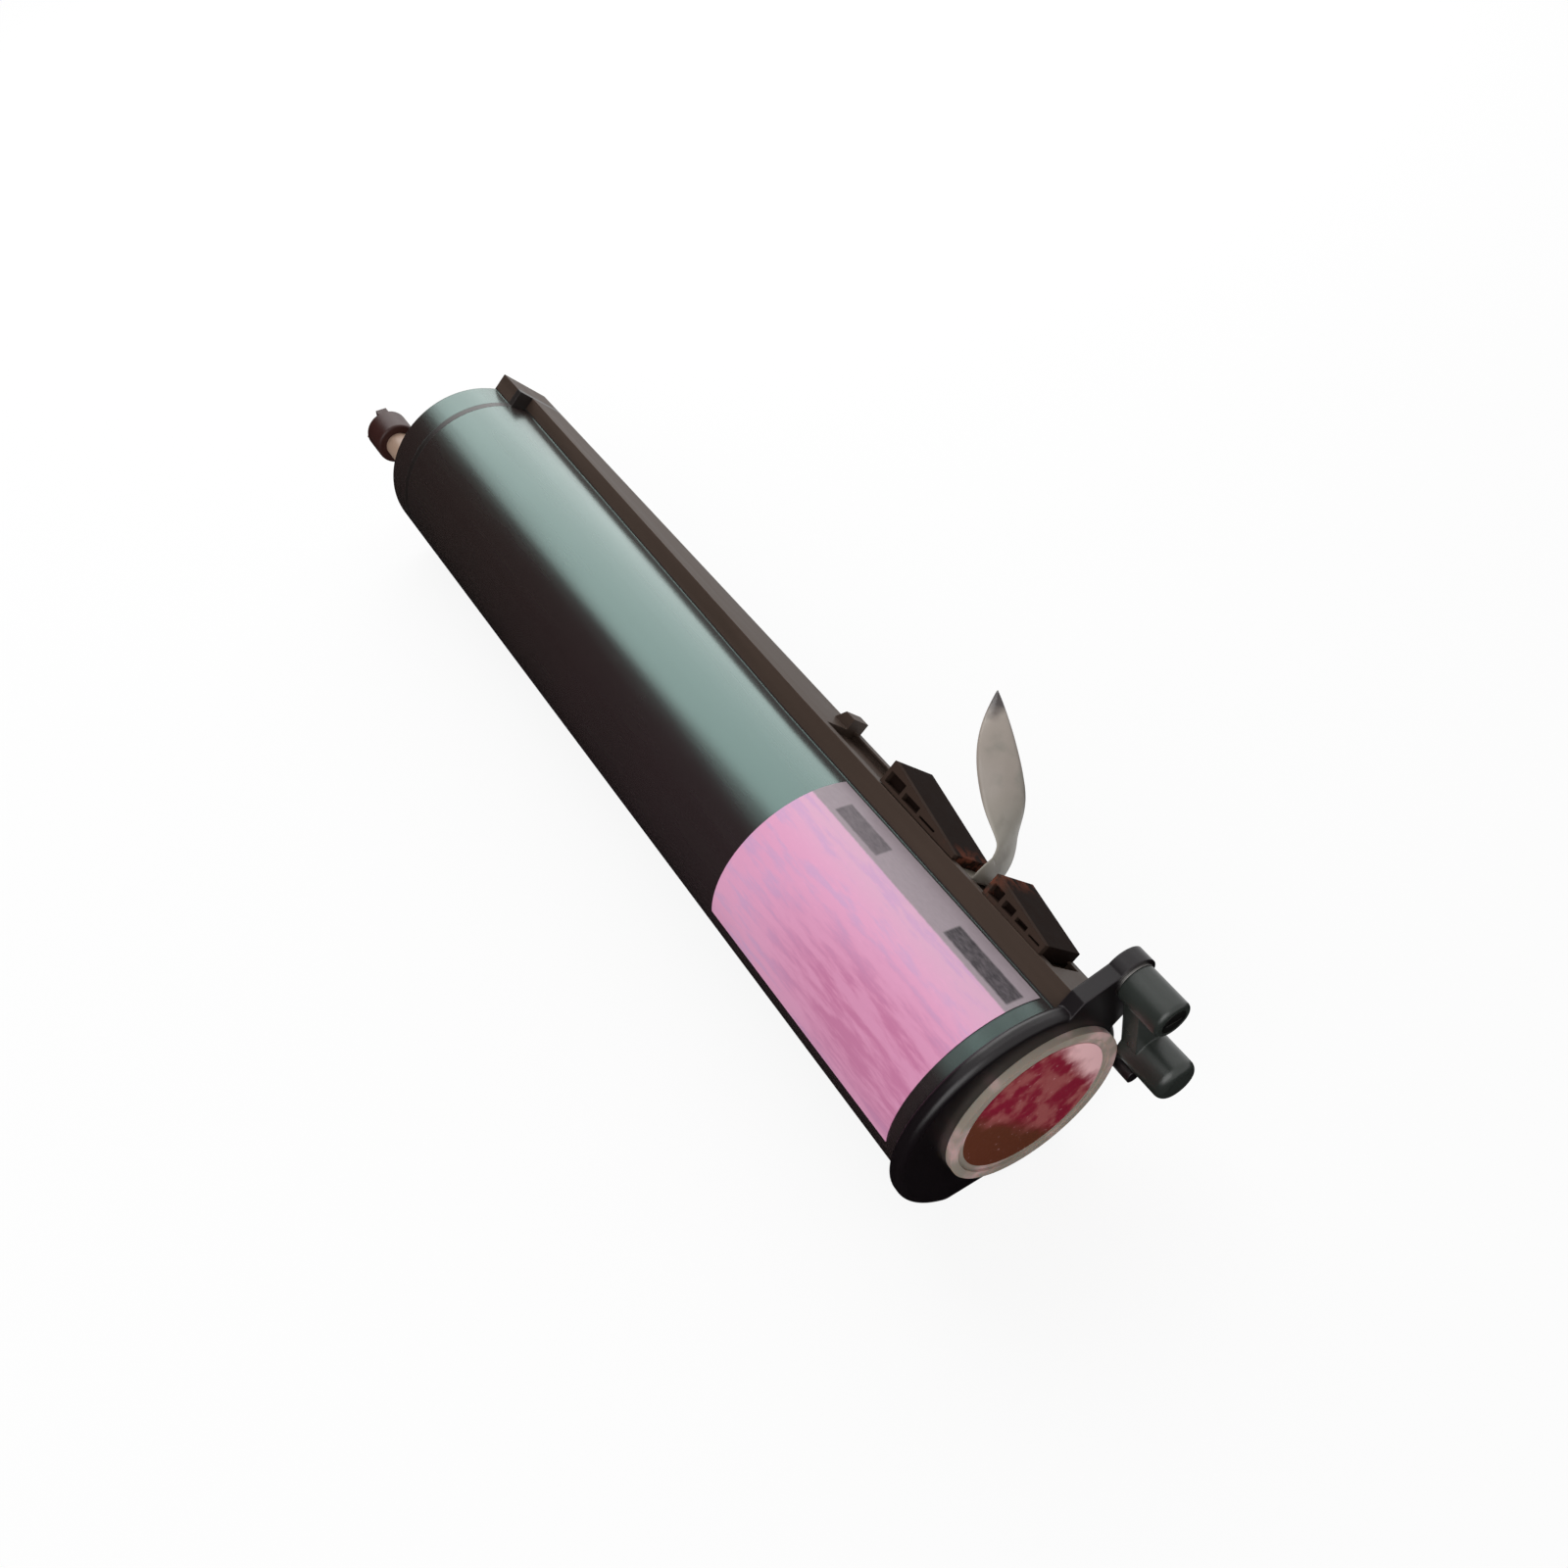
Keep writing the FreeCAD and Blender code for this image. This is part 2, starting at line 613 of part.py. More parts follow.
def grooved_shaft(radius):
    """Shaft through both bushes, with a flat at the gear and a groove for its clip."""
    shaft = rod(radius, SPIDER_FRONT, GEAR_FRONT)
    shaft = shaft.fuse(d_shaft(radius, GEAR_FRONT, GEAR_REAR + CLIP_T + FIT + SHAFT_END))
    groove = ring(radius + OVER, radius - CLIP_GROOVE, GEAR_REAR, GEAR_REAR + CLIP_T + FIT)
    return shaft.cut(groove)


def agitator_shaft():
    """Square bar between round ends, with a rail along each side on rungs."""
    first = SPIGOT_END + GAP
    last = SEAL_FRONT - GAP
    bar = AGITATOR_BAR / 2
    half = LADDER_T / 2
    shaft = grooved_shaft(SHAFT_R).fuse(block(-bar, bar, first, last, -bar, bar))
    for side in (-1, 1):
        inner = LADDER_R - LADDER_T
        rail = side_block(side, inner, LADDER_R, first + LADDER_SET, last - LADDER_SET, -half, half)
        shaft = shaft.fuse(rail)
    pitch = (last - first - 2 * LADDER_SET - LADDER_T) / (LADDER_RUNGS - 1)
    for number in range(LADDER_RUNGS):
        start = first + LADDER_SET + number * pitch
        shaft = shaft.fuse(block(-LADDER_R, LADDER_R, start, start + LADDER_T, -half, half))
    return shaft.removeSplitter()


def agitator_films():
    """Two wiper strips, one on each rail, on opposite faces."""
    first = SPIGOT_END + FILM_SET
    last = SEAL_FRONT - FILM_SET
    low = LADDER_T / 2
    film = block(LADDER_R - FILM_LAP, SWEEP_R, first, last, low, low + FILM_T)
    return Part.makeCompound([about_axis(film, number, 2) for number in range(2)])


def helical_blade(root, tip, length):
    """Auger blade along Z, swept with its section upright."""
    section = [V(root, 0, 0), V(tip, 0, 0), V(tip, 0, AUGER_BLADE_T), V(root, 0, AUGER_BLADE_T)]
    path = Part.Wire(Part.makeHelix(AUGER_PITCH, length, tip).Edges)
    return path.makePipeShell([Part.makePolygon(section + section[:1])], True, True)


def auger_screw():
    first = SPIGOT_END + AUGER_SET
    last = SEAL_FRONT - AUGER_SET
    blade = helical_blade(AUGER_SHAFT_R - BLADE_ROOT, AUGER_R, last - first - AUGER_BLADE_T)
    blade = blade.rotated(ORIGIN, V(1, 0, 0), -90)
    blade.translate(V(0, first, 0))
    screw = grooved_shaft(AUGER_SHAFT_R).fuse(blade)
    screw.translate(V(AUGER_X, 0, AUGER_Z))
    return screw


def bush(bore, start, end, x=0.0, z=0.0):
    return ring(bore + BUSH_WALL - PRESS, bore, start, end, x, z)


def clip(radius, x=0.0, z=0.0):
    """Open retaining clip in a shaft groove behind the gear."""
    inner = radius - CLIP_GROOVE
    start = GEAR_REAR + FIT / 2
    body = ring(radius + CLIP_W, inner, start, start + CLIP_T, x, z)
    half = inner * CLIP_MOUTH
    return body.cut(block(x - half, x + half, start - OVER, start + CLIP_T + OVER, z - FAR, z))


# Rear end

def rounded_end(shape, end, radius):
    """Rounds the edges of a shape's rear face."""
    return shape.makeFillet(radius, [e for e in shape.Edges if e.BoundBox.YMin > end - GAP])


def rear_outline(wall, start, end, end_round=0.0):
    """Outline of the rear end, less a wall: round, flat below, with the guide block at full width."""
    half = BLOCK_HALF_W - wall
    drum = rod(TUBE_R - wall, start, end)
    bump = block(-half, half, start, end, 0, BLOCK_FACE - wall)
    if end_round:
        drum = rounded_end(drum, end, end_round)
        bump = rounded_end(bump, end, end_round)
    return above_flat(drum.fuse(on_block(bump)), wall)


def rear_bulkhead():
    inner_r = SPIGOT_R - REAR_RING_W
    inner_flat = TUBE_WALL + FIT + REAR_RING_W
    spigot = above_flat(rod(SPIGOT_R, REAR_SPIGOT, SHELL_REAR), TUBE_WALL + FIT)
    spigot = spigot.cut(above_flat(rod(inner_r, REAR_SPIGOT - OVER, SHELL_REAR), inner_flat))
    body = rear_outline(0, SHELL_REAR, PLATE_REAR).fuse(spigot)
    screws = [polar(SCREW_CIRCLE_R, angle) for angle in SCREW_ANGLES]
    for centre in screws:
        body = body.fuse(rod(SCREW_BOSS_R, REAR_SPIGOT, PLATE_REAR, centre.x, centre.z))
    for bore, x, z in ((SHAFT_BORE, 0, 0), (AUGER_BORE, AUGER_X, AUGER_Z)):
        body = body.fuse(rod(bore + BUSH_WALL + BOSS_WALL, SEAL_FRONT, PLATE_REAR, x, z))
        body = body.cut(rod(bore + BUSH_WALL, 0, BODY_L, x, z))
    for centre in screws:
        hole = rod(SCREW_R + SPIN_CLEAR, REAR_SPIGOT + OVER, BODY_L, centre.x, centre.z)
        body = body.cut(hole)
    return above_flat(body).removeSplitter()


def gear_cover():
    """Cup over the gears with screw pillars and a boss for the coupling's bush."""
    cover = rear_outline(0, PLATE_REAR, BODY_L, COVER_ROUND)
    cover = cover.cut(rear_outline(COVER_WALL, PLATE_REAR - OVER, BODY_L - COVER_FACE_T))
    boss_r = NECK_BORE + BUSH_WALL + COVER_WALL
    cover = cover.fuse(rod(boss_r, GEAR_REAR + GAP, BODY_L - COVER_ROUND, COUPLING_X, COUPLING_Z))
    screws = [polar(SCREW_CIRCLE_R, angle) for angle in SCREW_ANGLES]
    for centre in screws:
        cover = cover.fuse(rod(SCREW_BOSS_R, PLATE_REAR, BODY_L - COVER_ROUND, centre.x, centre.z))
    for centre in screws:
        cover = cover.cut(rod(SCREW_R + SPIN_CLEAR, 0, BODY_L + OVER, centre.x, centre.z))
    cover = cover.cut(rod(NECK_BORE + BUSH_WALL, 0, BODY_L + OVER, COUPLING_X, COUPLING_Z))
    return above_flat(cover).removeSplitter()


def cover_screw(x, z):
    """Pan-head screw with a cross slot, through the cover into the bulkhead."""
    top = BODY_L + SCREW_HEAD_H
    head = rounded_end(rod(SCREW_HEAD_R, BODY_L, top), top, SCREW_HEAD_ROUND)
    half = SLOT_W / 2
    slot = block(-half, half, top - SLOT_DEPTH, top + OVER, -SLOT_L / 2, SLOT_L / 2)
    cross = slot.fuse(slot.rotated(ORIGIN, Y_AXIS, 90))
    screw = rod(SCREW_R, PLATE_REAR - SCREW_BITE, BODY_L).fuse(head).cut(cross)
    screw.translate(V(x, 0, z))
    return screw


def cover_screws():
    centres = [polar(SCREW_CIRCLE_R, angle) for angle in SCREW_ANGLES]
    return Part.makeCompound([cover_screw(centre.x, centre.z) for centre in centres])


def coupling_shaft():
    """Coupling neck moulded in one with its pinion, with a square tenon for the head."""
    shaft = spur_gear(COUPLING_TEETH, mesh_phase(COUPLING_TEETH, COUPLING_ANGLE), COUPLING_X, COUPLING_Z)
    neck_end = BODY_L + NECK_L
    half = TENON / 2
    tenon = block(-half, half, neck_end, neck_end + TENON_L, -half, half)
    tenon.translate(V(COUPLING_X, 0, COUPLING_Z))
    shaft = shaft.fuse(rod(NECK_R, GEAR_REAR, neck_end, COUPLING_X, COUPLING_Z))
    shaft = shaft.fuse(rod(FOOT_R, PLATE_REAR + GAP, GEAR_FRONT, COUPLING_X, COUPLING_Z))
    return shaft.fuse(tenon).removeSplitter()


def coupling_head():
    """Round drive head with dogs on its end face."""
    start = BODY_L + NECK_L
    end = start + HEAD_L
    head = rod(HEAD_R, start, end)
    head = head.makeFillet(HEAD_ROUND, [e for e in head.Edges if e.BoundBox.YMax < start + GAP])
    head = head.cut(ring(HEAD_R + OVER, TIP_R, end - DOG_L, end + OVER))
    for number in range(DOGS):
        dog = block(-DOG_W / 2, DOG_W / 2, end - DOG_L, end, TIP_R - OVER, HEAD_R - DOG_INSET)
        head = head.fuse(about_axis(dog, number, DOGS))
    half = TENON / 2 + FIT / 2
    head = head.cut(block(-half, half, start - OVER, start + TENON_L + FIT, -half, half))
    head.translate(V(COUPLING_X, 0, COUPLING_Z))
    return head.removeSplitter()


# Lever

def lever_boss(radius, length, round_r, x, z):
    """Round lobe of the lever with its front edge rounded."""
    front = LEVER_BACK - length
    boss = rod(radius, front, LEVER_BACK, x, z)
    return boss.makeFillet(round_r, [e for e in boss.Edges if e.BoundBox.YMax < front + GAP])


def lock_lever():
    nx = -LEVER_DZ / LEVER_REACH / 2
    nz = LEVER_DX / LEVER_REACH / 2
    arm = prism_y([
        (HUB_X - nx * ARM_HUB_W, HUB_Z - nz * ARM_HUB_W),
        (KNOB_X - nx * ARM_KNOB_W, KNOB_Z - nz * ARM_KNOB_W),
        (KNOB_X + nx * ARM_KNOB_W, KNOB_Z + nz * ARM_KNOB_W),
        (HUB_X + nx * ARM_HUB_W, HUB_Z + nz * ARM_HUB_W),
    ], LEVER_BACK - ARM_T, LEVER_BACK)
    lever = lever_boss(HUB_R, HUB_L, HUB_ROUND, HUB_X, HUB_Z)
    lever = lever.fuse(lever_boss(KNOB_R, KNOB_L, KNOB_ROUND, KNOB_X, KNOB_Z)).fuse(arm)
    front = LEVER_BACK - HUB_L
    lever = lever.cut(rod(PIVOT_R + SPIN_CLEAR, front - OVER, 0, HUB_X, HUB_Z))
    sink = rod(PIVOT_HEAD_R + FIT, front - OVER, front + PIVOT_HEAD_H + FIT, HUB_X, HUB_Z)
    return lever.cut(sink).removeSplitter()


def lever_screw():
    """Shoulder screw through the lever's hub into the flange's ear."""
    front = LEVER_BACK - HUB_L
    seat = front + PIVOT_HEAD_H
    shank = rod(PIVOT_R - PRESS, seat, FLANGE_T, HUB_X, HUB_Z)
    head = rod(PIVOT_HEAD_R, front, seat, HUB_X, HUB_Z)
    half = PIVOT_SLOT_L / 2
    slot = block(-half, half, front - OVER, front + SLOT_DEPTH, -SLOT_W / 2, SLOT_W / 2)
    slot.translate(V(HUB_X, 0, HUB_Z))
    return shank.fuse(head).cut(slot).removeSplitter()


def lever_washer():
    return ring(HUB_R, PIVOT_R + SPIN_CLEAR, -WASHER_T, 0, HUB_X, HUB_Z)


def main():
    os.makedirs("parts", exist_ok=True)
    save("hopper_shell", hopper_shell())
    save("body_label", body_label())
    save("front_cap", front_cap())
    save("filler_plug", filler_plug())
    save("plug_seal", plug_seal())
    save("plug_sticker", plug_sticker())
    save("shutter", shutter())
    save("front_guard", front_guard())
    save("port_seal", port_seal())
    save("pull_tape", pull_tape())
    save("agitator_gear", agitator_gear())
    save("auger_gear", auger_gear())
    save("agitator_shaft", agitator_shaft())
    save("agitator_films", agitator_films())
    save("auger_screw", auger_screw())
    save("agitator_front_bush", bush(SHAFT_BORE, SPIDER_FRONT, SPIGOT_END))
    save("agitator_rear_bush", bush(SHAFT_BORE, REAR_SPIGOT, PLATE_REAR))
    save("agitator_shaft_seal", bush(SHAFT_BORE, SEAL_FRONT, REAR_SPIGOT))
    save("agitator_clip", clip(SHAFT_R))
    save("auger_front_bush", bush(AUGER_BORE, SPIDER_FRONT, SPIGOT_END, AUGER_X, AUGER_Z))
    save("auger_rear_bush", bush(AUGER_BORE, REAR_SPIGOT, PLATE_REAR, AUGER_X, AUGER_Z))
    save("auger_shaft_seal", bush(AUGER_BORE, SEAL_FRONT, REAR_SPIGOT, AUGER_X, AUGER_Z))
    save("auger_clip", clip(AUGER_SHAFT_R, AUGER_X, AUGER_Z))
    save("rear_bulkhead", rear_bulkhead())
    save("gear_cover", gear_cover())
    save("cover_screws", cover_screws())
    save("coupling_bush", bush(NECK_BORE, GEAR_REAR + GAP, BODY_L, COUPLING_X, COUPLING_Z))
    save("coupling_shaft", coupling_shaft())
    save("coupling_head", coupling_head())
    save("lock_lever", lock_lever())
    save("lever_screw", lever_screw())
    save("lever_washer", lever_washer())


main()
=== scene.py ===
import math

import bpy
from bpy.props import FloatProperty, FloatVectorProperty, IntProperty, PointerProperty
from mathutils import Matrix, Vector


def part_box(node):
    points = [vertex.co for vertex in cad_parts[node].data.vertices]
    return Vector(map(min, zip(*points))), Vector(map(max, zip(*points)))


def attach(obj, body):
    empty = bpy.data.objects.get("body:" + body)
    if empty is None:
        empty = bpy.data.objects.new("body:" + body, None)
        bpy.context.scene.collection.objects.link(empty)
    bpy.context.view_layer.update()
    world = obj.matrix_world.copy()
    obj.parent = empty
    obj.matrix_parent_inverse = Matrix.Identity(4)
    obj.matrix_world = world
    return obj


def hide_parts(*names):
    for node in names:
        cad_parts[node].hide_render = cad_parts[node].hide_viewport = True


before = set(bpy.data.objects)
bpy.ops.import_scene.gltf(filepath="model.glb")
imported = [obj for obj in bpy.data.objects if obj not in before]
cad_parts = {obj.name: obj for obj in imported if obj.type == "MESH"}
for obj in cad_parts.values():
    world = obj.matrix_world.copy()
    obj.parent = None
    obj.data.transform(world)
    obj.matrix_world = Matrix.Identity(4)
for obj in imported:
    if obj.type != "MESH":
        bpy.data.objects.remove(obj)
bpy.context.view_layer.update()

bl_info = {
    "name": "Toner Cartridge Finishes",
    "version": (1, 0, 0),
    "blender": (4, 5, 0),
    "location": "3D View > Sidebar > Cartridge",
    "description": "Dresses a packed toner cartridge with its plastics, films and metals, and lights it",
    "category": "Material",
}

SHELL_LOW, SHELL_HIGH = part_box("hopper_shell")
GEAR_LOW, GEAR_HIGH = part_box("agitator_gear")
LABEL_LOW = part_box("body_label")[0]
DISC_LOW, DISC_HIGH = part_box("plug_sticker")
TAPE_LOW, TAPE_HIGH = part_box("pull_tape")
AXIS_H = (GEAR_LOW.z + GEAR_HIGH.z) / 2
TUBE_R = -SHELL_LOW.x
MM = 0.001


# Settings

def colour(name, description, default):
    return FloatVectorProperty(
        name=name, description=description, default=default, subtype="COLOR", size=3, min=0.0, max=1.0
    )


def length(name, description, default):
    return FloatProperty(name=name, description=description, default=default, unit="LENGTH", precision=5)


def sides(name, description, default):
    return FloatVectorProperty(name=name, description=description, default=default, size=2, unit="LENGTH")


def direction(name, description, default):
    return FloatVectorProperty(name=name, description=description, default=default, size=3, subtype="DIRECTION")


def power(name, description, default):
    return FloatProperty(name=name, description=description, default=default, unit="POWER")


def share(name, description, default):
    return FloatProperty(
        name=name, description=description, default=default, min=0.0, max=1.0, subtype="FACTOR"
    )


def angle(name, description, default):
    default = math.radians(default)
    return FloatProperty(name=name, description=description, default=default, unit="ROTATION")


class HopperSettings(bpy.types.PropertyGroup):
    """Black moulding of the tube and its guide block"""

    front_colour: colour("Front colour", "Plastic near the front end", (0.028, 0.016, 0.018))
    rear_colour: colour("Rear colour", "Plastic near the drive end", (0.026, 0.016, 0.015))
    block_colour: colour("Block colour", "Duller plastic of the raised guide block", (0.05, 0.033, 0.025))
    gloss_tint: colour("Gloss tint", "Tint of the mirrored light", (0.62, 1.0, 0.92))
    gloss: share("Gloss", "Specular level of the tube", 1.0)
    block_gloss: share("Block gloss", "Specular level of the guide block", 0.15)
    roughness: share("Roughness", "Roughness of the tube", 0.26)
    block_roughness: share("Block roughness", "Roughness of the guide block", 0.5)
    flow_depth: length("Flow depth", "Depth of the long flow streaks", 0.04 * MM)
    grain_depth: length("Grain depth", "Depth of the fine grain", 0.012 * MM)


class LabelSettings(bpy.types.PropertyGroup):
    """Pink paper label round the tube"""

    field_colour: colour("Field", "Main pink of the label", (0.72, 0.34, 0.52))
    streak_colour: colour("Streaks", "Lilac of the printed streaks", (0.58, 0.34, 0.55))
    pale_colour: colour("Pale pink", "Pink beside the margin", (0.66, 0.4, 0.54))
    # Rose is partly printed blotches and partly painted shade on the tube's lower left.
    rose_and_shade_colour: colour("Rose", "Deeper rose near the lower front", (0.52, 0.16, 0.3))
    margin_colour: colour("Margin", "Pale strip beside the guide block", (0.34, 0.28, 0.31))
    bar_colour: colour("Bars", "Dark bars in the margin", (0.008, 0.005, 0.009))
    margin_angle: angle("Margin edge", "Where the margin meets the pink, measured round the tube", 87.0)
    bar_low: angle("Bar edge near the block", "Lower edge of the bars, measured round the tube", 74.0)
    bar_high: angle("Bar edge near the pink", "Upper edge of the bars, measured round the tube", 84.0)
    front_bar: sides("Front bar", "Start and end of the front bar behind the flange", (14 * MM, 46 * MM))
    rear_bar: sides("Rear bar", "Start and end of the rear bar behind the flange", (83 * MM, 107 * MM))
    roughness: share("Roughness", "Roughness of the coated paper", 0.42)


class FrontSettings(bpy.types.PropertyGroup):
    """Flange, filler plug and its disc"""

    cap_colour: colour("Flange", "Glossy black of the front flange", (0.006, 0.004, 0.005))
    milky_colour: colour("Milky plastic", "Natural plastic of the filler plug", (0.34, 0.29, 0.24))
    disc_colour: colour("Disc", "Magenta of the disc", (0.25, 0.012, 0.034))
    disc_bright: colour("Disc bright", "Brighter rose patches of the disc", (0.36, 0.09, 0.09))
    # Disc pale is a painted highlight on the disc's upper right, and also pale dust on the disc and plug. Disc
    # brown is painted shade on the disc's lower left, and also dust on the plug's edges.
    disc_highlight_and_dust: colour("Disc pale", "Pale pink edge of the disc", (0.9, 0.54, 0.56))
    disc_shade_and_dust: colour("Disc brown", "Brown lower part of the disc", (0.13, 0.036, 0.018))
    seal_colour: colour("Seal", "Rubber ring behind the plug", (0.03, 0.03, 0.032))
    patch_size: length("Patch size", "Size of the patches on the disc", 9 * MM)


class SlideSettings(bpy.types.PropertyGroup):
    """Shutter, front guard and the foam under them"""

    wedge_colour: colour("Wedges", "Brown-black plastic of both wedges", (0.008, 0.0045, 0.0035))
    skirt_colour: colour("Skirts", "Browner plastic of the wedges beside the label", (0.042, 0.027, 0.021))
    skirt_start: length("Skirt start", "Where that plastic starts, from the block's middle", 9.5 * MM)
    stain_colour: colour("Toner stain", "Reddish toner dust near the port", (0.16, 0.05, 0.03))
    foam_colour: colour("Foam", "Open foam round the port", (0.06, 0.06, 0.062))
    stain_reach: length("Stain reach", "How far the dust spreads from the strip's root", 16 * MM)
    roughness: share("Roughness", "Roughness of the wedges", 0.68)


class TapeSettings(bpy.types.PropertyGroup):
    """Tear strip over the port"""

    film_colour: colour("Film", "Greyish film", (0.37, 0.34, 0.29))
    upper_colour: colour("Upper film", "Pinkish upper part of the film", (0.35, 0.3, 0.26))
    tip_colour: colour("Tip", "Dark end of the film", (0.03, 0.02, 0.018))
    opacity: share("Opacity", "How much of the light the film stops", 0.86)
    width: length("Width", "Width of the strip", 15 * MM)
    thickness: length("Thickness", "Thickness of the film", 0.2 * MM)
    root_height: length("Root height", "Distance of the strip's root from the tube's axis", 42.93 * MM)
    flat_length: length("Flat length", "Length of the strip over the port", 38.5 * MM)
    fold_radius: length("Fold radius", "Radius of the fold at the strip's root", 1.2 * MM)
    rise: length("Rise", "Height of the standing part over the block", 50.7 * MM)
    lean: length("Lean", "How far the tip leans to the rear", 41 * MM)
    lean_curve: FloatProperty(
        name="Lean curve", description="Power of the height that the lean follows", default=1.8)
    drift: length("Drift", "How far the tip leans sideways", 2.5 * MM)
    sway: length("Sway", "How far the standing part swings to either side", 5.4 * MM)
    twist: angle("Twist", "Turn of the upper part about its own run", 51.0)
    back_turn: angle("Back turn", "Turn of the lower part the other way", 5.0)
    tip_start: share("Tip start", "Share of the height where the strip starts to narrow", 0.62)
    curl: length("Curl", "Bow across the film", 0.7 * MM)
    crinkle: length("Crinkle", "Height of the small creases", 0.12 * MM)
    rows: IntProperty(name="Rows", description="Divisions along the standing part", default=64, min=8)
    columns: IntProperty(name="Columns", description="Divisions across the strip", default=10, min=2)


class LeverSettings(bpy.types.PropertyGroup):
    """Swinging lever on the front flange"""

    lever_colour: colour("Lever", "Black plastic of the lever", (0.022, 0.026, 0.023))
    # The rubbed edge colour is partly wear and partly a painted greenish highlight on the lever.
    rub_and_highlight_colour: colour("Rubbed edge", "Greyer plastic on rubbed edges", (0.09, 0.1, 0.093))
    screw_colour: colour("Screw", "Blackened steel of the pivot screw", (0.05, 0.048, 0.046))
    roughness: share("Roughness", "Roughness of the lever", 0.3)


class DriveSettings(bpy.types.PropertyGroup):
    """Rear cover, its screws and the drive coupling"""

    bulkhead_colour: colour("Bulkhead", "Black plastic of the bulkhead under the cover", (0.014, 0.01, 0.009))
    neck_colour: colour("Neck", "Tan plastic of the coupling's neck", (0.34, 0.23, 0.17))
    head_colour: colour("Head", "Dark brown plastic of the coupling's head", (0.034, 0.011, 0.009))
    steel_colour: colour("Steel", "Zinc-plated steel", (0.55, 0.55, 0.54))
    nylon_colour: colour("Bushes", "Oil-filled nylon", (0.11, 0.075, 0.042))


class InnerSettings(bpy.types.PropertyGroup):
    """Agitator, auger and their small parts"""

    acetal_colour: colour("Acetal", "Natural acetal of shafts and gears", (0.72, 0.7, 0.63))
    film_colour: colour("Wiper film", "Clear polyester of the wipers", (0.6, 0.66, 0.66))
    dust_colour: colour("Toner dust", "Magenta dust on the inner parts", (0.3, 0.03, 0.1))
    dust: share("Dust", "How much of the inner parts the dust covers", 0.35)
    rubber_colour: colour("Shaft seals", "Soft rubber of the shaft seals", (0.035, 0.035, 0.035))


class StageSettings(bpy.types.PropertyGroup):
    """Floor, lights and camera"""

    camera_place: FloatVectorProperty(
        name="Camera", description="Place of the camera", size=3, subtype="TRANSLATION", unit="LENGTH",
        default=(-0.1863, -0.367, 0.4454))
    camera_aim: direction("Aim", "Direction that the camera looks in", (0.3614, 0.5721, -0.7363))
    focal_length: FloatProperty(
        name="Focal length", description="Focal length on a 36 mm sensor, in millimetres", default=33.75)
    floor_size: length("Floor size", "Side of the square floor", 8.0)
    floor_colour: colour("Floor", "Colour of the floor", (0.86, 0.86, 0.86))
    floor_lift: share("Floor lift", "How much of the floor is shown as plain white", 0.88)
    ambience: share("Ambience", "Strength of the even light from all round", 0.31)
    strip_power: power("Strip light", "Power of the light mirrored along the tube", 15.2)
    strip_toward: direction("Strip light's place", "Where the strip light hangs", (0.305, 0.685, 0.662))
    strip_along: direction("Strip light's run", "Direction of its longer side", (0.906, -0.011, -0.424))
    strip_distance: length("Strip light's distance", "Distance from the cartridge", 1.2)
    strip_size: sides("Strip light's size", "Its two sides", (1.72, 1.0))
    fill_power: power("Fill light", "Power of the large light at the front left", 12.0)
    fill_toward: direction("Fill light's place", "Where the fill light hangs", (-0.62, -0.5, 0.6))
    fill_along: direction("Fill light's run", "Direction of its first side", (1.0, 0.0, 0.0))
    fill_distance: length("Fill light's distance", "Distance from the cartridge", 1.5)
    fill_size: sides("Fill light's size", "Its two sides", (1.3, 1.3))
    # The dark cards are painted shade and painted dark reflections. Only mirrored rays see them.
    shade_card_colour: colour("Cards", "Cloth on the dark cards", (0.008, 0.008, 0.008))
    card_size: sides("Standing card", "Size of the dark card mirrored in the tube's left side", (2.0, 1.05))
    card_place: sides("Standing card's place", "Its middle on the floor", (-0.8, 0.62))
    card_turn: angle("Standing card's turn", "Its turn about the vertical", 52.0)
    side_card_size: sides("Side card", "Size of the dark card on the floor to the left", (1.06, 1.5))
    side_card_place: sides("Side card's place", "Its middle on the floor", (-0.52, 0.55))
    front_card_size: sides("Front card", "Size of the dark card before the flange", (1.6, 3.0))
    front_card_middle: length("Front card's middle", "Its middle from left to right", -0.25)


GROUPS = {
    "cartridge_hopper": HopperSettings,
    "cartridge_label": LabelSettings,
    "cartridge_front": FrontSettings,
    "cartridge_slides": SlideSettings,
    "cartridge_tape": TapeSettings,
    "cartridge_lever": LeverSettings,
    "cartridge_drive": DriveSettings,
    "cartridge_inner": InnerSettings,
    "cartridge_stage": StageSettings,
}


# Shader building

class Value:
    """A node's output socket on which arithmetic adds Math nodes"""

    def __init__(self, finish, socket):
        self.finish = finish
        self.socket = socket

    def math(self, operation, *operands):
        return self.finish.node("ShaderNodeMath", {"operation": operation}, dict(enumerate(operands)))

    def __add__(self, other):
        return self.math("ADD", self, other)

    def __sub__(self, other):
        return self.math("SUBTRACT", self, other)

    def __rsub__(self, other):
        return self.math("SUBTRACT", other, self)

    def __mul__(self, other):
        return self.math("MULTIPLY", self, other)

    def __truediv__(self, other):
        return self.math("DIVIDE", self, other)

    def __pow__(self, other):
        return self.math("POWER", self, other)

    __radd__ = __add__
    __rmul__ = __mul__


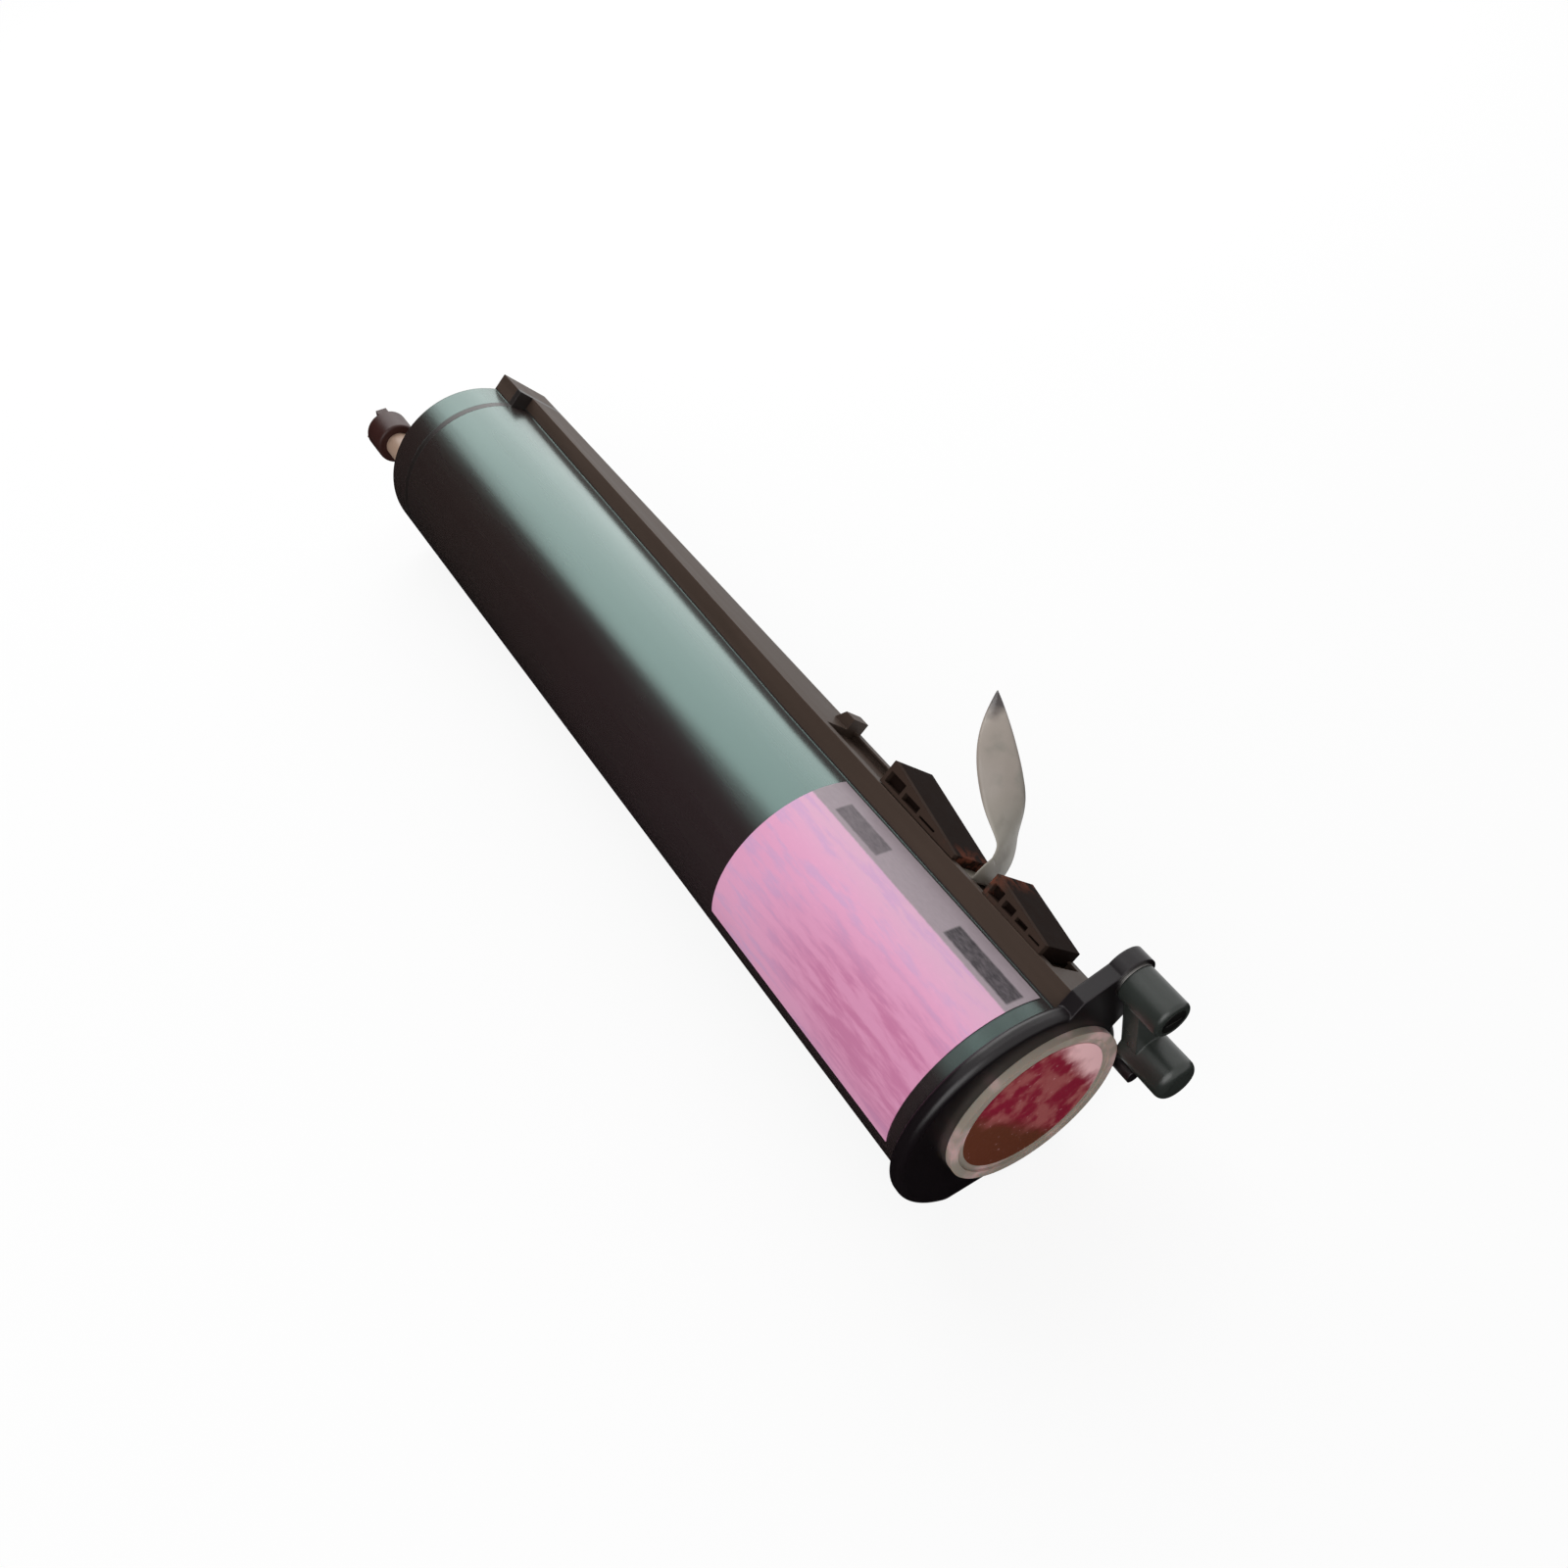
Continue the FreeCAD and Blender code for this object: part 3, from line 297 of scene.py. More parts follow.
class Finish:
    """One material, or the world's background, under construction round a single shader"""

    def __init__(self, name, constants=None, shader="ShaderNodeBsdfPrincipled", world=False):
        self.material = (bpy.data.worlds if world else bpy.data.materials).new(name)
        self.material.use_nodes = True
        self.tree = self.material.node_tree
        self.tree.nodes.clear()
        self.shader = self.node(shader, {}, constants or {})
        self.output = self.tree.nodes.new("ShaderNodeOutputWorld" if world else "ShaderNodeOutputMaterial")
        self.show(self.shader)

    def show(self, shader):
        """Makes a shader the one that the material shows."""
        self.plug(self.output.inputs["Surface"], shader)

    def node(self, kind, settings=None, inputs=None, output=0):
        """Adds a node: its settings first, then the values or links of its sockets."""
        made = self.tree.nodes.new(kind)
        for key, value in (settings or {}).items():
            setattr(made, key, value)
        for key, value in (inputs or {}).items():
            self.plug(made.inputs[key], value)
        return Value(self, made.outputs[output])

    def plug(self, socket, value):
        if isinstance(value, Value):
            self.tree.links.new(value.socket, socket)
        elif hasattr(socket.default_value, "__len__") and len(value) < len(socket.default_value):
            socket.default_value = (*value, 1.0)
        else:
            socket.default_value = value

    def give(self, socket, value):
        """Feeds one socket of the shader."""
        self.plug(self.shader.socket.node.inputs[socket], value)

    def seen(self):
        """1 for what the camera sees, straight, mirrored or through film, and 0 for light on things."""
        path = self.node("ShaderNodeLightPath").socket.node.outputs
        straight = Value(self, path["Is Camera Ray"])
        mirrored = Value(self, path["Is Glossy Ray"])
        through = Value(self, path["Is Transmission Ray"])
        return straight.math("MINIMUM", straight + mirrored + through, 1.0)

    def point(self):
        """Place in the cartridge's own frame, in metres."""
        return self.node("ShaderNodeTexCoord", output="Object")

    def parts(self, vector):
        split = self.node("ShaderNodeSeparateXYZ", {}, {0: vector})
        return [Value(self, socket) for socket in split.socket.node.outputs]

    def scaled(self, vector, factors):
        return self.node("ShaderNodeVectorMath", {"operation": "MULTIPLY"}, {0: vector, 1: factors})

    def noise(self, vector, scale, detail=2.0, rough=0.5):
        return self.node("ShaderNodeTexNoise", {}, {
            "Vector": vector, "Scale": scale, "Detail": detail, "Roughness": rough})

    def mix(self, first, second, factor):
        settings = {"data_type": "RGBA"}
        return self.node("ShaderNodeMix", settings, {0: factor, 6: first, 7: second}, 2)

    def ease(self, value, low, high):
        """Rises smoothly from 0 to 1 between two values."""
        return self.node("ShaderNodeMapRange", {"interpolation_type": "SMOOTHSTEP"}, {
            0: value, 1: low, 2: high, 3: 0.0, 4: 1.0})

    def between(self, value, low, high, soft):
        """1 between two values and 0 outside them, with soft ends."""
        return self.ease(value, low - soft, low + soft) * (1.0 - self.ease(value, high - soft, high + soft))

    def spot(self, across, up, centre, radius, soft):
        """1 inside a circle and 0 outside it, with a soft rim."""
        away = ((across - centre[0]) ** 2.0 + (up - centre[1]) ** 2.0) ** 0.5
        return 1.0 - self.ease(away, radius - soft, radius + soft)

    def eased_normal(self, radius):
        """Normal with the edges rounded."""
        return self.node("ShaderNodeBevel", {"samples": 4}, {"Radius": radius})

    def edge(self, rounded):
        """Mask of the edges, from how far a rounded normal leans from the true one."""
        true = self.node("ShaderNodeNewGeometry", output="Normal")
        same = self.node("ShaderNodeVectorMath", {"operation": "DOT_PRODUCT"}, {0: rounded, 1: true}, "Value")
        return self.ease(1.0 - same, 0.02, 0.2)

    def bump(self, height, distance, normal=None):
        inputs = {"Strength": 1.0, "Distance": distance, "Height": height}
        if normal:
            inputs["Normal"] = normal
        return self.node("ShaderNodeBump", {}, inputs)


def tint(base, factor):
    """A colour made darker or lighter."""
    return tuple(min(1.0, channel * factor) for channel in base)


def moulded(name, base, roughness, worn, constants=None, soft=0.4 * MM):
    """Moulded plastic: cloudy tint, fine grain, rounded edges that are rubbed a little lighter."""
    finish = Finish(name, constants)
    place = finish.point()
    cloud = finish.noise(place, 45.0, 3.0)
    fine = finish.noise(place, 1800.0, 2.0)
    rounded = finish.eased_normal(soft)
    rubbed = finish.edge(rounded) * finish.noise(place, 220.0, 2.0)
    tone = finish.mix(tint(base, 0.8), tint(base, 1.25), cloud)
    finish.give("Base Color", finish.mix(tone, tint(base, worn), rubbed))
    finish.give("Roughness", roughness + (cloud - 0.5) * 0.16 - rubbed * 0.08)
    finish.give("Normal", finish.bump(fine, 0.015 * MM, rounded))
    return finish.material


def metal(name, base, roughness):
    """Plated steel with fine turning marks and a dull bloom."""
    finish = Finish(name, {"Metallic": 1.0})
    place = finish.point()
    bloom = finish.noise(place, 160.0, 4.0)
    marks = finish.noise(finish.scaled(place, (1.0, 14.0, 1.0)), 900.0, 2.0)
    rounded = finish.eased_normal(0.2 * MM)
    finish.give("Base Color", finish.mix(tint(base, 0.75), tint(base, 1.1), bloom))
    finish.give("Roughness", roughness + (bloom - 0.5) * 0.25)
    finish.give("Normal", finish.bump(marks, 0.008 * MM, rounded))
    return finish.material


def rubber(name, base):
    """Soft rubber with a faint bloom."""
    finish = Finish(name, {"Specular IOR Level": 0.3})
    place = finish.point()
    bloom = finish.noise(place, 90.0, 4.0)
    skin = finish.noise(place, 1400.0, 3.0)
    finish.give("Base Color", finish.mix(tint(base, 0.8), tint(base, 1.6), bloom))
    finish.give("Roughness", 0.7 + bloom * 0.2)
    finish.give("Normal", finish.bump(skin, 0.03 * MM))
    return finish.material


def hopper_plastic(name, settings):
    """Glossy black moulding with long flow streaks, and a duller guide block."""
    finish = Finish(name, {"Specular Tint": settings.gloss_tint, "Specular IOR Level": settings.gloss})
    place = finish.point()
    x, y, z = finish.parts(place)
    away = (x ** 2.0 + (z - AXIS_H) ** 2.0) ** 0.5
    on_block = finish.ease(away, TUBE_R + 0.4 * MM, TUBE_R + 0.9 * MM)
    toward_rear = finish.ease(y, SHELL_LOW.y * 0.4, SHELL_HIGH.y * 0.9)
    cloud = finish.noise(place, 22.0, 3.0)
    streaks = finish.noise(finish.scaled(place, (1.0, 0.05, 1.0)), 170.0, 3.0)
    grain = finish.noise(place, 1500.0, 2.0)
    rounded = finish.eased_normal(0.4 * MM)
    rubbed = finish.edge(rounded) * finish.noise(place, 160.0, 3.0)
    tube = finish.mix(settings.front_colour, settings.rear_colour, toward_rear)
    tube = finish.mix(tube, tint(settings.rear_colour, 0.7), cloud * 0.5)
    finish.give("Base Color", finish.mix(tube, tint(settings.front_colour, 2.0), rubbed * 0.5))
    finish.give("Roughness", settings.roughness + (cloud - 0.5) * 0.08 + (streaks - 0.5) * 0.12)
    flow = finish.bump(streaks, settings.flow_depth, rounded)
    skin = finish.bump(grain, settings.grain_depth, flow)
    finish.give("Normal", skin)
    scuffed = finish.mix(tint(settings.block_colour, 0.75), tint(settings.block_colour, 1.3), streaks)
    block = finish.node("ShaderNodeBsdfPrincipled", {}, {
        "Base Color": finish.mix(scuffed, tint(settings.block_colour, 2.6), rubbed),
        "Roughness": settings.block_roughness + (streaks - 0.5) * 0.2,
        "Specular IOR Level": settings.block_gloss,
        "Normal": skin,
    })
    finish.show(finish.node("ShaderNodeMixShader", {}, {0: on_block, 1: finish.shader, 2: block}))
    return finish.material


def label_paper(settings):
    """Coated pink paper: lilac streaks, a rose patch on the lower front that is partly printed blotches and
    partly painted shade, and a pale margin with two dark bars.
    """
    finish = Finish("label_pink", {"Specular IOR Level": 0.25})
    place = finish.point()
    x, y, z = finish.parts(place)
    turn = finish.node("ShaderNodeMath", {"operation": "ARCTAN2"}, {0: z - AXIS_H, 1: x})
    along = y - (LABEL_LOW.y - 12 * MM)
    run = along * 9.0
    round_and_along = finish.node("ShaderNodeCombineXYZ", {}, {0: turn, 1: run})
    ragged = (finish.noise(place, 700.0, 2.0) - 0.5) * 0.012
    streaks = finish.noise(finish.scaled(round_and_along, (1.0, 0.45, 1.0)), 9.0, 4.0, 0.6)
    flecks = finish.noise(round_and_along, 34.0, 3.0, 0.6)
    fibres = finish.noise(finish.scaled(place, (1.0, 0.3, 1.0)), 2400.0, 3.0)
    margin = 1.0 - finish.ease(turn + ragged, settings.margin_angle - 0.012, settings.margin_angle + 0.012)
    beside = 1.0 - finish.ease(turn, settings.margin_angle, settings.margin_angle + 0.45)
    field = finish.mix(settings.field_colour, settings.pale_colour, beside * 0.8)
    field = finish.mix(field, settings.streak_colour, finish.ease(streaks, 0.47, 0.64) * 0.75)
    field = finish.mix(field, tint(settings.field_colour, 1.12), finish.ease(flecks, 0.5, 0.8) * 0.3)
    # Deeper rose on the lower front: partly printed blotches, partly painted shade on the side turned from the
    # lights.
    low_front_rose_and_shade = finish.spot(turn, run, (math.radians(146), 0.24), 0.5, 0.26)
    field = finish.mix(field, settings.rose_and_shade_colour, low_front_rose_and_shade * (0.35 + finish.ease(streaks, 0.4, 0.6) * 0.5))
    in_bar = finish.between(turn + ragged, settings.bar_low, settings.bar_high, 0.012)
    front_bar = finish.between(along, *settings.front_bar, 0.6 * MM)
    rear_bar = finish.between(along, *settings.rear_bar, 0.6 * MM)
    bars = in_bar * (front_bar + rear_bar * 0.75) * (0.85 + (flecks - 0.5) * 0.6)
    pale = finish.mix(settings.margin_colour, tint(settings.margin_colour, 0.8), flecks)
    pale = finish.mix(pale, settings.bar_colour, bars)
    finish.give("Base Color", finish.mix(field, pale, margin))
    finish.give("Roughness", settings.roughness + (flecks - 0.5) * 0.14)
    finish.give("Normal", finish.bump(fibres, 0.01 * MM))
    return finish.material


def disc_print(settings):
    """Magenta disc: rose patches, a painted highlight in pale pink on its upper right, painted shade in brown
    on its lower left, and pale mottling.
    """
    finish = Finish("disc_magenta", {"Specular IOR Level": 0.05})
    place = finish.point()
    x, _, z = finish.parts(place)
    middle = (DISC_LOW + DISC_HIGH) / 2
    radius = (DISC_HIGH.x - DISC_LOW.x) / 2
    across = (x - middle.x) / radius
    up = (z - middle.z) / radius
    patches = finish.noise(place, 1 / settings.patch_size, 3.0, 0.55)
    fine = finish.noise(place, 4 / settings.patch_size, 3.0, 0.55)
    drift = (patches - 0.5) * 0.5
    # Pale pink towards the upper right: painted highlight.
    pale = finish.ease(across + up * 0.55 + drift, 0.62, 0.95)
    # Brown towards the lower left: painted shade.
    brown = 1.0 - finish.ease(across + up * 0.9 + drift, -0.62, -0.25)
    face = finish.mix(settings.disc_colour, settings.disc_bright, finish.ease(patches, 0.42, 0.6))
    face = finish.mix(face, settings.disc_highlight_and_dust, pale)
    face = finish.mix(face, settings.disc_shade_and_dust, brown)
    face = finish.mix(face, settings.disc_highlight_and_dust, finish.ease(fine, 0.62, 0.8) * 0.6)
    finish.give("Base Color", face)
    finish.give("Roughness", 0.4 + (fine - 0.5) * 0.3)
    finish.give("Normal", finish.bump(fine, 0.04 * MM))
    return finish.material


def milky_plastic(settings):
    """Milky polyethylene that lets some light through, with toner dust in its corners."""
    clear = {"Subsurface Weight": 0.25, "Subsurface Scale": 2 * MM, "Specular IOR Level": 0.4}
    finish = Finish("milky_plug", clear)
    place = finish.point()
    cloud = finish.noise(place, 70.0, 3.0)
    rounded = finish.eased_normal(0.5 * MM)
    corner = finish.edge(rounded) * finish.noise(place, 260.0, 3.0)
    base = finish.mix(tint(settings.milky_colour, 0.82), tint(settings.milky_colour, 1.12), cloud)
    dusty = finish.mix(base, settings.disc_highlight_and_dust, finish.ease(cloud, 0.5, 0.75) * 0.6)
    finish.give("Base Color", finish.mix(dusty, settings.disc_shade_and_dust, corner * 0.35))
    finish.give("Roughness", 0.4 + cloud * 0.15)
    finish.give("Normal", finish.bump(finish.noise(place, 1200.0), 0.02 * MM, rounded))
    return finish.material


def wedge_plastic(settings):
    """Satin brown-black plastic with reddish toner dust beside the tear strip."""
    finish = Finish("wedge_brown", {"Specular IOR Level": 0.02})
    place = finish.point()
    x, y, z = finish.parts(place)
    sideways = (x - z + AXIS_H) * math.sqrt(0.5)
    reach = settings.stain_reach
    near = 1.0 - finish.ease(((y - TAPE_LOW.y) ** 2.0) ** 0.5, reach * 0.3, reach)
    dust = finish.noise(place, 190.0, 4.0, 0.6)
    grain = finish.noise(place, 1300.0, 2.0)
    rounded = finish.eased_normal(0.4 * MM)
    rubbed = finish.edge(rounded) * finish.noise(place, 240.0, 3.0)
    base = finish.mix(settings.wedge_colour, tint(settings.wedge_colour, 2.0), dust)
    near_side = 1.0 - finish.ease(sideways, -settings.skirt_start - 0.5 * MM, -settings.skirt_start + 0.5 * MM)
    base = finish.mix(base, settings.skirt_colour, near_side)
    base = finish.mix(base, settings.stain_colour, near * finish.ease(dust, 0.42, 0.6))
    finish.give("Base Color", finish.mix(base, tint(settings.wedge_colour, 6.0), rubbed * 0.6))
    finish.give("Roughness", settings.roughness + (dust - 0.5) * 0.25)
    finish.give("Normal", finish.bump(grain, 0.018 * MM, rounded))
    return finish.material


def foam(settings):
    """Open foam with round pores."""
    finish = Finish("port_foam", {"Specular IOR Level": 0.2})
    place = finish.point()
    pores = finish.node("ShaderNodeTexVoronoi", {}, {"Vector": place, "Scale": 1600.0})
    finish.give("Base Color", finish.mix(tint(settings.foam_colour, 0.4), settings.foam_colour, pores))
    finish.give("Roughness", 0.85 + pores * 0.1)
    finish.give("Normal", finish.bump(pores, 0.2 * MM))
    return finish.material


def tear_film(settings):
    """Greyish film that is pinker above and dark at its tip, with fine stretch marks."""
    finish = Finish("tear_film", {"Specular IOR Level": 0.5, "Alpha": settings.opacity})
    place = finish.point()
    _, _, z = finish.parts(place)
    height = (z - TAPE_LOW.z) / (TAPE_HIGH.z - TAPE_LOW.z)
    cloud = finish.noise(place, 120.0, 3.0)
    marks = finish.noise(finish.scaled(place, (1.0, 1.0, 0.12)), 1500.0, 3.0)
    base = finish.mix(settings.film_colour, settings.upper_colour, finish.ease(height, 0.35, 0.75))
    base = finish.mix(base, tint(settings.film_colour, 0.7), finish.ease(cloud, 0.5, 0.8))
    wander = (cloud - 0.5) * 0.05
    finish.give("Base Color", finish.mix(base, settings.tip_colour, finish.ease(height + wander, 0.94, 0.975)))
    finish.give("Roughness", 0.3 + cloud * 0.15)
    finish.give("Normal", finish.bump(marks, 0.03 * MM))
    return finish.material


def dusty_plastic(name, base, settings, roughness=0.4, constants=None):
    """Pale inner plastic with toner dust caught on it."""
    finish = Finish(name, constants)
    place = finish.point()
    cloud = finish.noise(place, 60.0, 3.0)
    dust = finish.noise(place, 420.0, 4.0, 0.65)
    rounded = finish.eased_normal(0.3 * MM)
    caught = finish.ease(dust + finish.edge(rounded) * 0.1, 0.62 - settings.dust * 0.2, 0.78)
    tone = finish.mix(tint(base, 0.88), base, cloud)
    finish.give("Base Color", finish.mix(tone, settings.dust_colour, caught * 0.7))
    finish.give("Roughness", roughness + caught * 0.3)
    finish.give("Normal", finish.bump(finish.noise(place, 1600.0), 0.012 * MM, rounded))
    return finish.material


def dress(material, *names):
    """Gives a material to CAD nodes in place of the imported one."""
    for name in names:
        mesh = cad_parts[name].data
        mesh.materials.clear()
        mesh.materials.append(material)


# Operators

class CARTRIDGE_OT_hopper(bpy.types.Operator):
    """Finish the hopper tube with its guide block"""

    bl_idname = "cartridge.hopper"
    bl_label = "Hopper"

    def execute(self, context):
        dress(hopper_plastic("hopper_black", context.scene.cartridge_hopper), "hopper_shell")
        return {"FINISHED"}


class CARTRIDGE_OT_label(bpy.types.Operator):
    """Print the paper label round the tube"""

    bl_idname = "cartridge.label"
    bl_label = "Label"

    def execute(self, context):
        dress(label_paper(context.scene.cartridge_label), "body_label")
        return {"FINISHED"}


class CARTRIDGE_OT_front(bpy.types.Operator):
    """Finish the front flange, the filler plug, its seal and its disc"""

    bl_idname = "cartridge.front"
    bl_label = "Front end"

    def execute(self, context):
        settings = context.scene.cartridge_front
        gloss = {"Specular IOR Level": 0.35}
        flange = moulded("flange_black", settings.cap_colour, 0.3, 6.0, gloss, 0.7 * MM)
        dress(flange, "front_cap")
        dress(milky_plastic(settings), "filler_plug")
        dress(disc_print(settings), "plug_sticker")
        dress(rubber("plug_rubber", settings.seal_colour), "plug_seal")
        return {"FINISHED"}


class CARTRIDGE_OT_slides(bpy.types.Operator):
    """Finish the shutter, the front guard and the foam round the port"""

    bl_idname = "cartridge.slides"
    bl_label = "Shutter and guard"

    def execute(self, context):
        settings = context.scene.cartridge_slides
        dress(wedge_plastic(settings), "shutter", "front_guard")
        dress(foam(settings), "port_seal")
        return {"FINISHED"}


class CARTRIDGE_OT_tear_strip(bpy.types.Operator):
    """Make the tear strip: flat over the port, folded, then standing with a twist and a curl"""

    bl_idname = "cartridge.tear_strip"
    bl_label = "Tear strip"

    def execute(self, context):
        settings = context.scene.cartridge_tape
        mesh = bpy.data.meshes.new("tear_strip")
        stations = self.stations(settings)
        points = [point for station in stations for point in self.row(settings, *station)]
        wide = settings.columns + 1
        starts = [row * wide + column for row in range(len(stations) - 1) for column in range(settings.columns)]
        faces = [(start, start + 1, start + wide + 1, start + wide) for start in starts]
        mesh.from_pydata(points, [], faces)
        mesh.shade_smooth()
        mesh.transform(Matrix.Translation((0, 0, AXIS_H)) @ Matrix.Rotation(math.radians(45), 4, "Y"))
        mesh.materials.append(tear_film(settings))
        strip = bpy.data.objects.new("tear_strip", mesh)
        context.scene.collection.objects.link(strip)
        film = strip.modifiers.new("thickness", "SOLIDIFY")
        film.thickness = settings.thickness
        film.offset = 0.0
        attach(strip, "housing")
        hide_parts("pull_tape")
        return {"FINISHED"}

    def smooth(self, value, low, high):
        """Rises smoothly from 0 to 1 between two values."""
        ratio = min(1.0, max(0.0, (value - low) / (high - low)))
        return ratio * ratio * (3 - 2 * ratio)

    def standing(self, settings, fold, part):
        """Centre of the standing strip at a share of its height."""
        swing = settings.sway * math.sin(2 * math.pi * part) * self.smooth(part, 0.0, 0.16)
        return Vector((
            swing - settings.drift * part,
            fold + settings.lean * part ** settings.lean_curve,
            settings.root_height + settings.rise * part,
        ))

    def stations(self, settings):
        """Centre, run and share of the height for each row, from the flat end to the tip."""
        fold = TAPE_LOW.y + settings.thickness / 2
        bend = settings.fold_radius
        flat_rows = 8
        fold_rows = 6
        found = []
        for number in range(flat_rows + 1):
            y = fold + settings.flat_length + (bend - settings.flat_length) * number / flat_rows
            found.append((Vector((0, y, settings.root_height)), Vector((0, -1, 0)), 0.0))
        for number in range(1, fold_rows):
            turn = math.radians(90) * number / fold_rows
            y = fold + bend * (1 - math.sin(turn))
            z = settings.root_height + bend * (1 - math.cos(turn))
            found.append((Vector((0, y, z)), Vector((0, -math.cos(turn), math.sin(turn))), 0.0))
        first = bend / settings.rise
        for number in range(settings.rows + 1):
            part = first + (1 - first) * number / settings.rows
            centre = self.standing(settings, fold, part)
            run = (self.standing(settings, fold, part + first) - centre).normalized()
            found.append((centre, run, part))
        return found

    def row(self, settings, centre, run, part):
        """Points across the strip at one station."""
        over = self.smooth(part, 0.3, 0.6)
        turn = settings.twist * over - settings.back_turn * self.smooth(part, 0.0, 0.12) * (1 - over)
        sideways = Vector((1, 0, 0))
        level = (sideways - run * run.dot(sideways)).normalized()
        across = run.cross(level) * math.sin(turn) - level * math.cos(turn)
        face = run.cross(across)
        into_tip = max(0.0, part - settings.tip_start) / ((1 - settings.tip_start) * 1.02)
        half = settings.width / 2 * (1 - into_tip ** 2.0)
        freed = min(1.0, part * 4)
        points = []
        for column in range(settings.columns + 1):
            side = 2 * column / settings.columns - 1
            bow = settings.curl * (1 - side ** 2) * freed
            crease = settings.crinkle * math.sin(23 * part + 2.1 * side) * math.cos(9 * part - 3 * side) * freed
            points.append(centre + across * (half * side) + face * (bow + crease))
        return points


class CARTRIDGE_OT_lever(bpy.types.Operator):
    """Finish the swinging lever, its screw and its washer"""

    bl_idname = "cartridge.lever"
    bl_label = "Lever"

    def execute(self, context):
        settings = context.scene.cartridge_lever
        # Lighter rubbed edges: partly wear, partly a painted highlight on the lever.
        worn = settings.rub_and_highlight_colour[1] / settings.lever_colour[1]
        lever = moulded("lever_black", settings.lever_colour, settings.roughness, worn, soft=0.8 * MM)
        dress(lever, "lock_lever")
        dress(metal("pivot_screw", settings.screw_colour, 0.45), "lever_screw")
        dress(metal("pivot_washer", tint(settings.screw_colour, 5.0), 0.4), "lever_washer")
        return {"FINISHED"}


class CARTRIDGE_OT_drive(bpy.types.Operator):
    """Finish the rear cover, its screws, the bulkhead and the drive coupling"""

    bl_idname = "cartridge.drive"
    bl_label = "Drive end"

    def execute(self, context):
        settings = context.scene.cartridge_drive
        dress(hopper_plastic("cover_black", context.scene.cartridge_hopper), "gear_cover")
        dress(moulded("bulkhead_black", settings.bulkhead_colour, 0.4, 3.0), "rear_bulkhead")
        dress(metal("cover_screw_steel", settings.steel_colour, 0.32), "cover_screws")
        dress(moulded("neck_tan", settings.neck_colour, 0.42, 1.3), "coupling_shaft")
        satin = {"Specular IOR Level": 0.25}
        dress(moulded("head_brown", settings.head_colour, 0.42, 2.6, satin), "coupling_head")
        dress(moulded("bush_nylon", settings.nylon_colour, 0.4, 1.3), "coupling_bush")
        return {"FINISHED"}


class CARTRIDGE_OT_inner(bpy.types.Operator):
    """Finish the agitator, the auger, their gears, bushes, seals and clips"""

    bl_idname = "cartridge.inner"
    bl_label = "Agitator and auger"

    def execute(self, context):
        settings = context.scene.cartridge_inner
        drive = context.scene.cartridge_drive
        dress(dusty_plastic("acetal_shafts", settings.acetal_colour, settings), "agitator_shaft", "auger_screw")
        clean = moulded("acetal_gears", settings.acetal_colour, 0.38, 1.1)
        dress(clean, "agitator_gear", "auger_gear")
        film = dusty_plastic("wiper_film", settings.film_colour, settings, 0.2, {"Alpha": 0.6})
        dress(film, "agitator_films")
        nylon = moulded("shaft_bush_nylon", drive.nylon_colour, 0.45, 1.3)
        dress(nylon, "agitator_front_bush", "agitator_rear_bush", "auger_front_bush", "auger_rear_bush")
        dress(rubber("shaft_rubber", settings.rubber_colour), "agitator_shaft_seal", "auger_shaft_seal")
        dress(metal("clip_steel", drive.steel_colour, 0.28), "agitator_clip", "auger_clip")
        return {"FINISHED"}


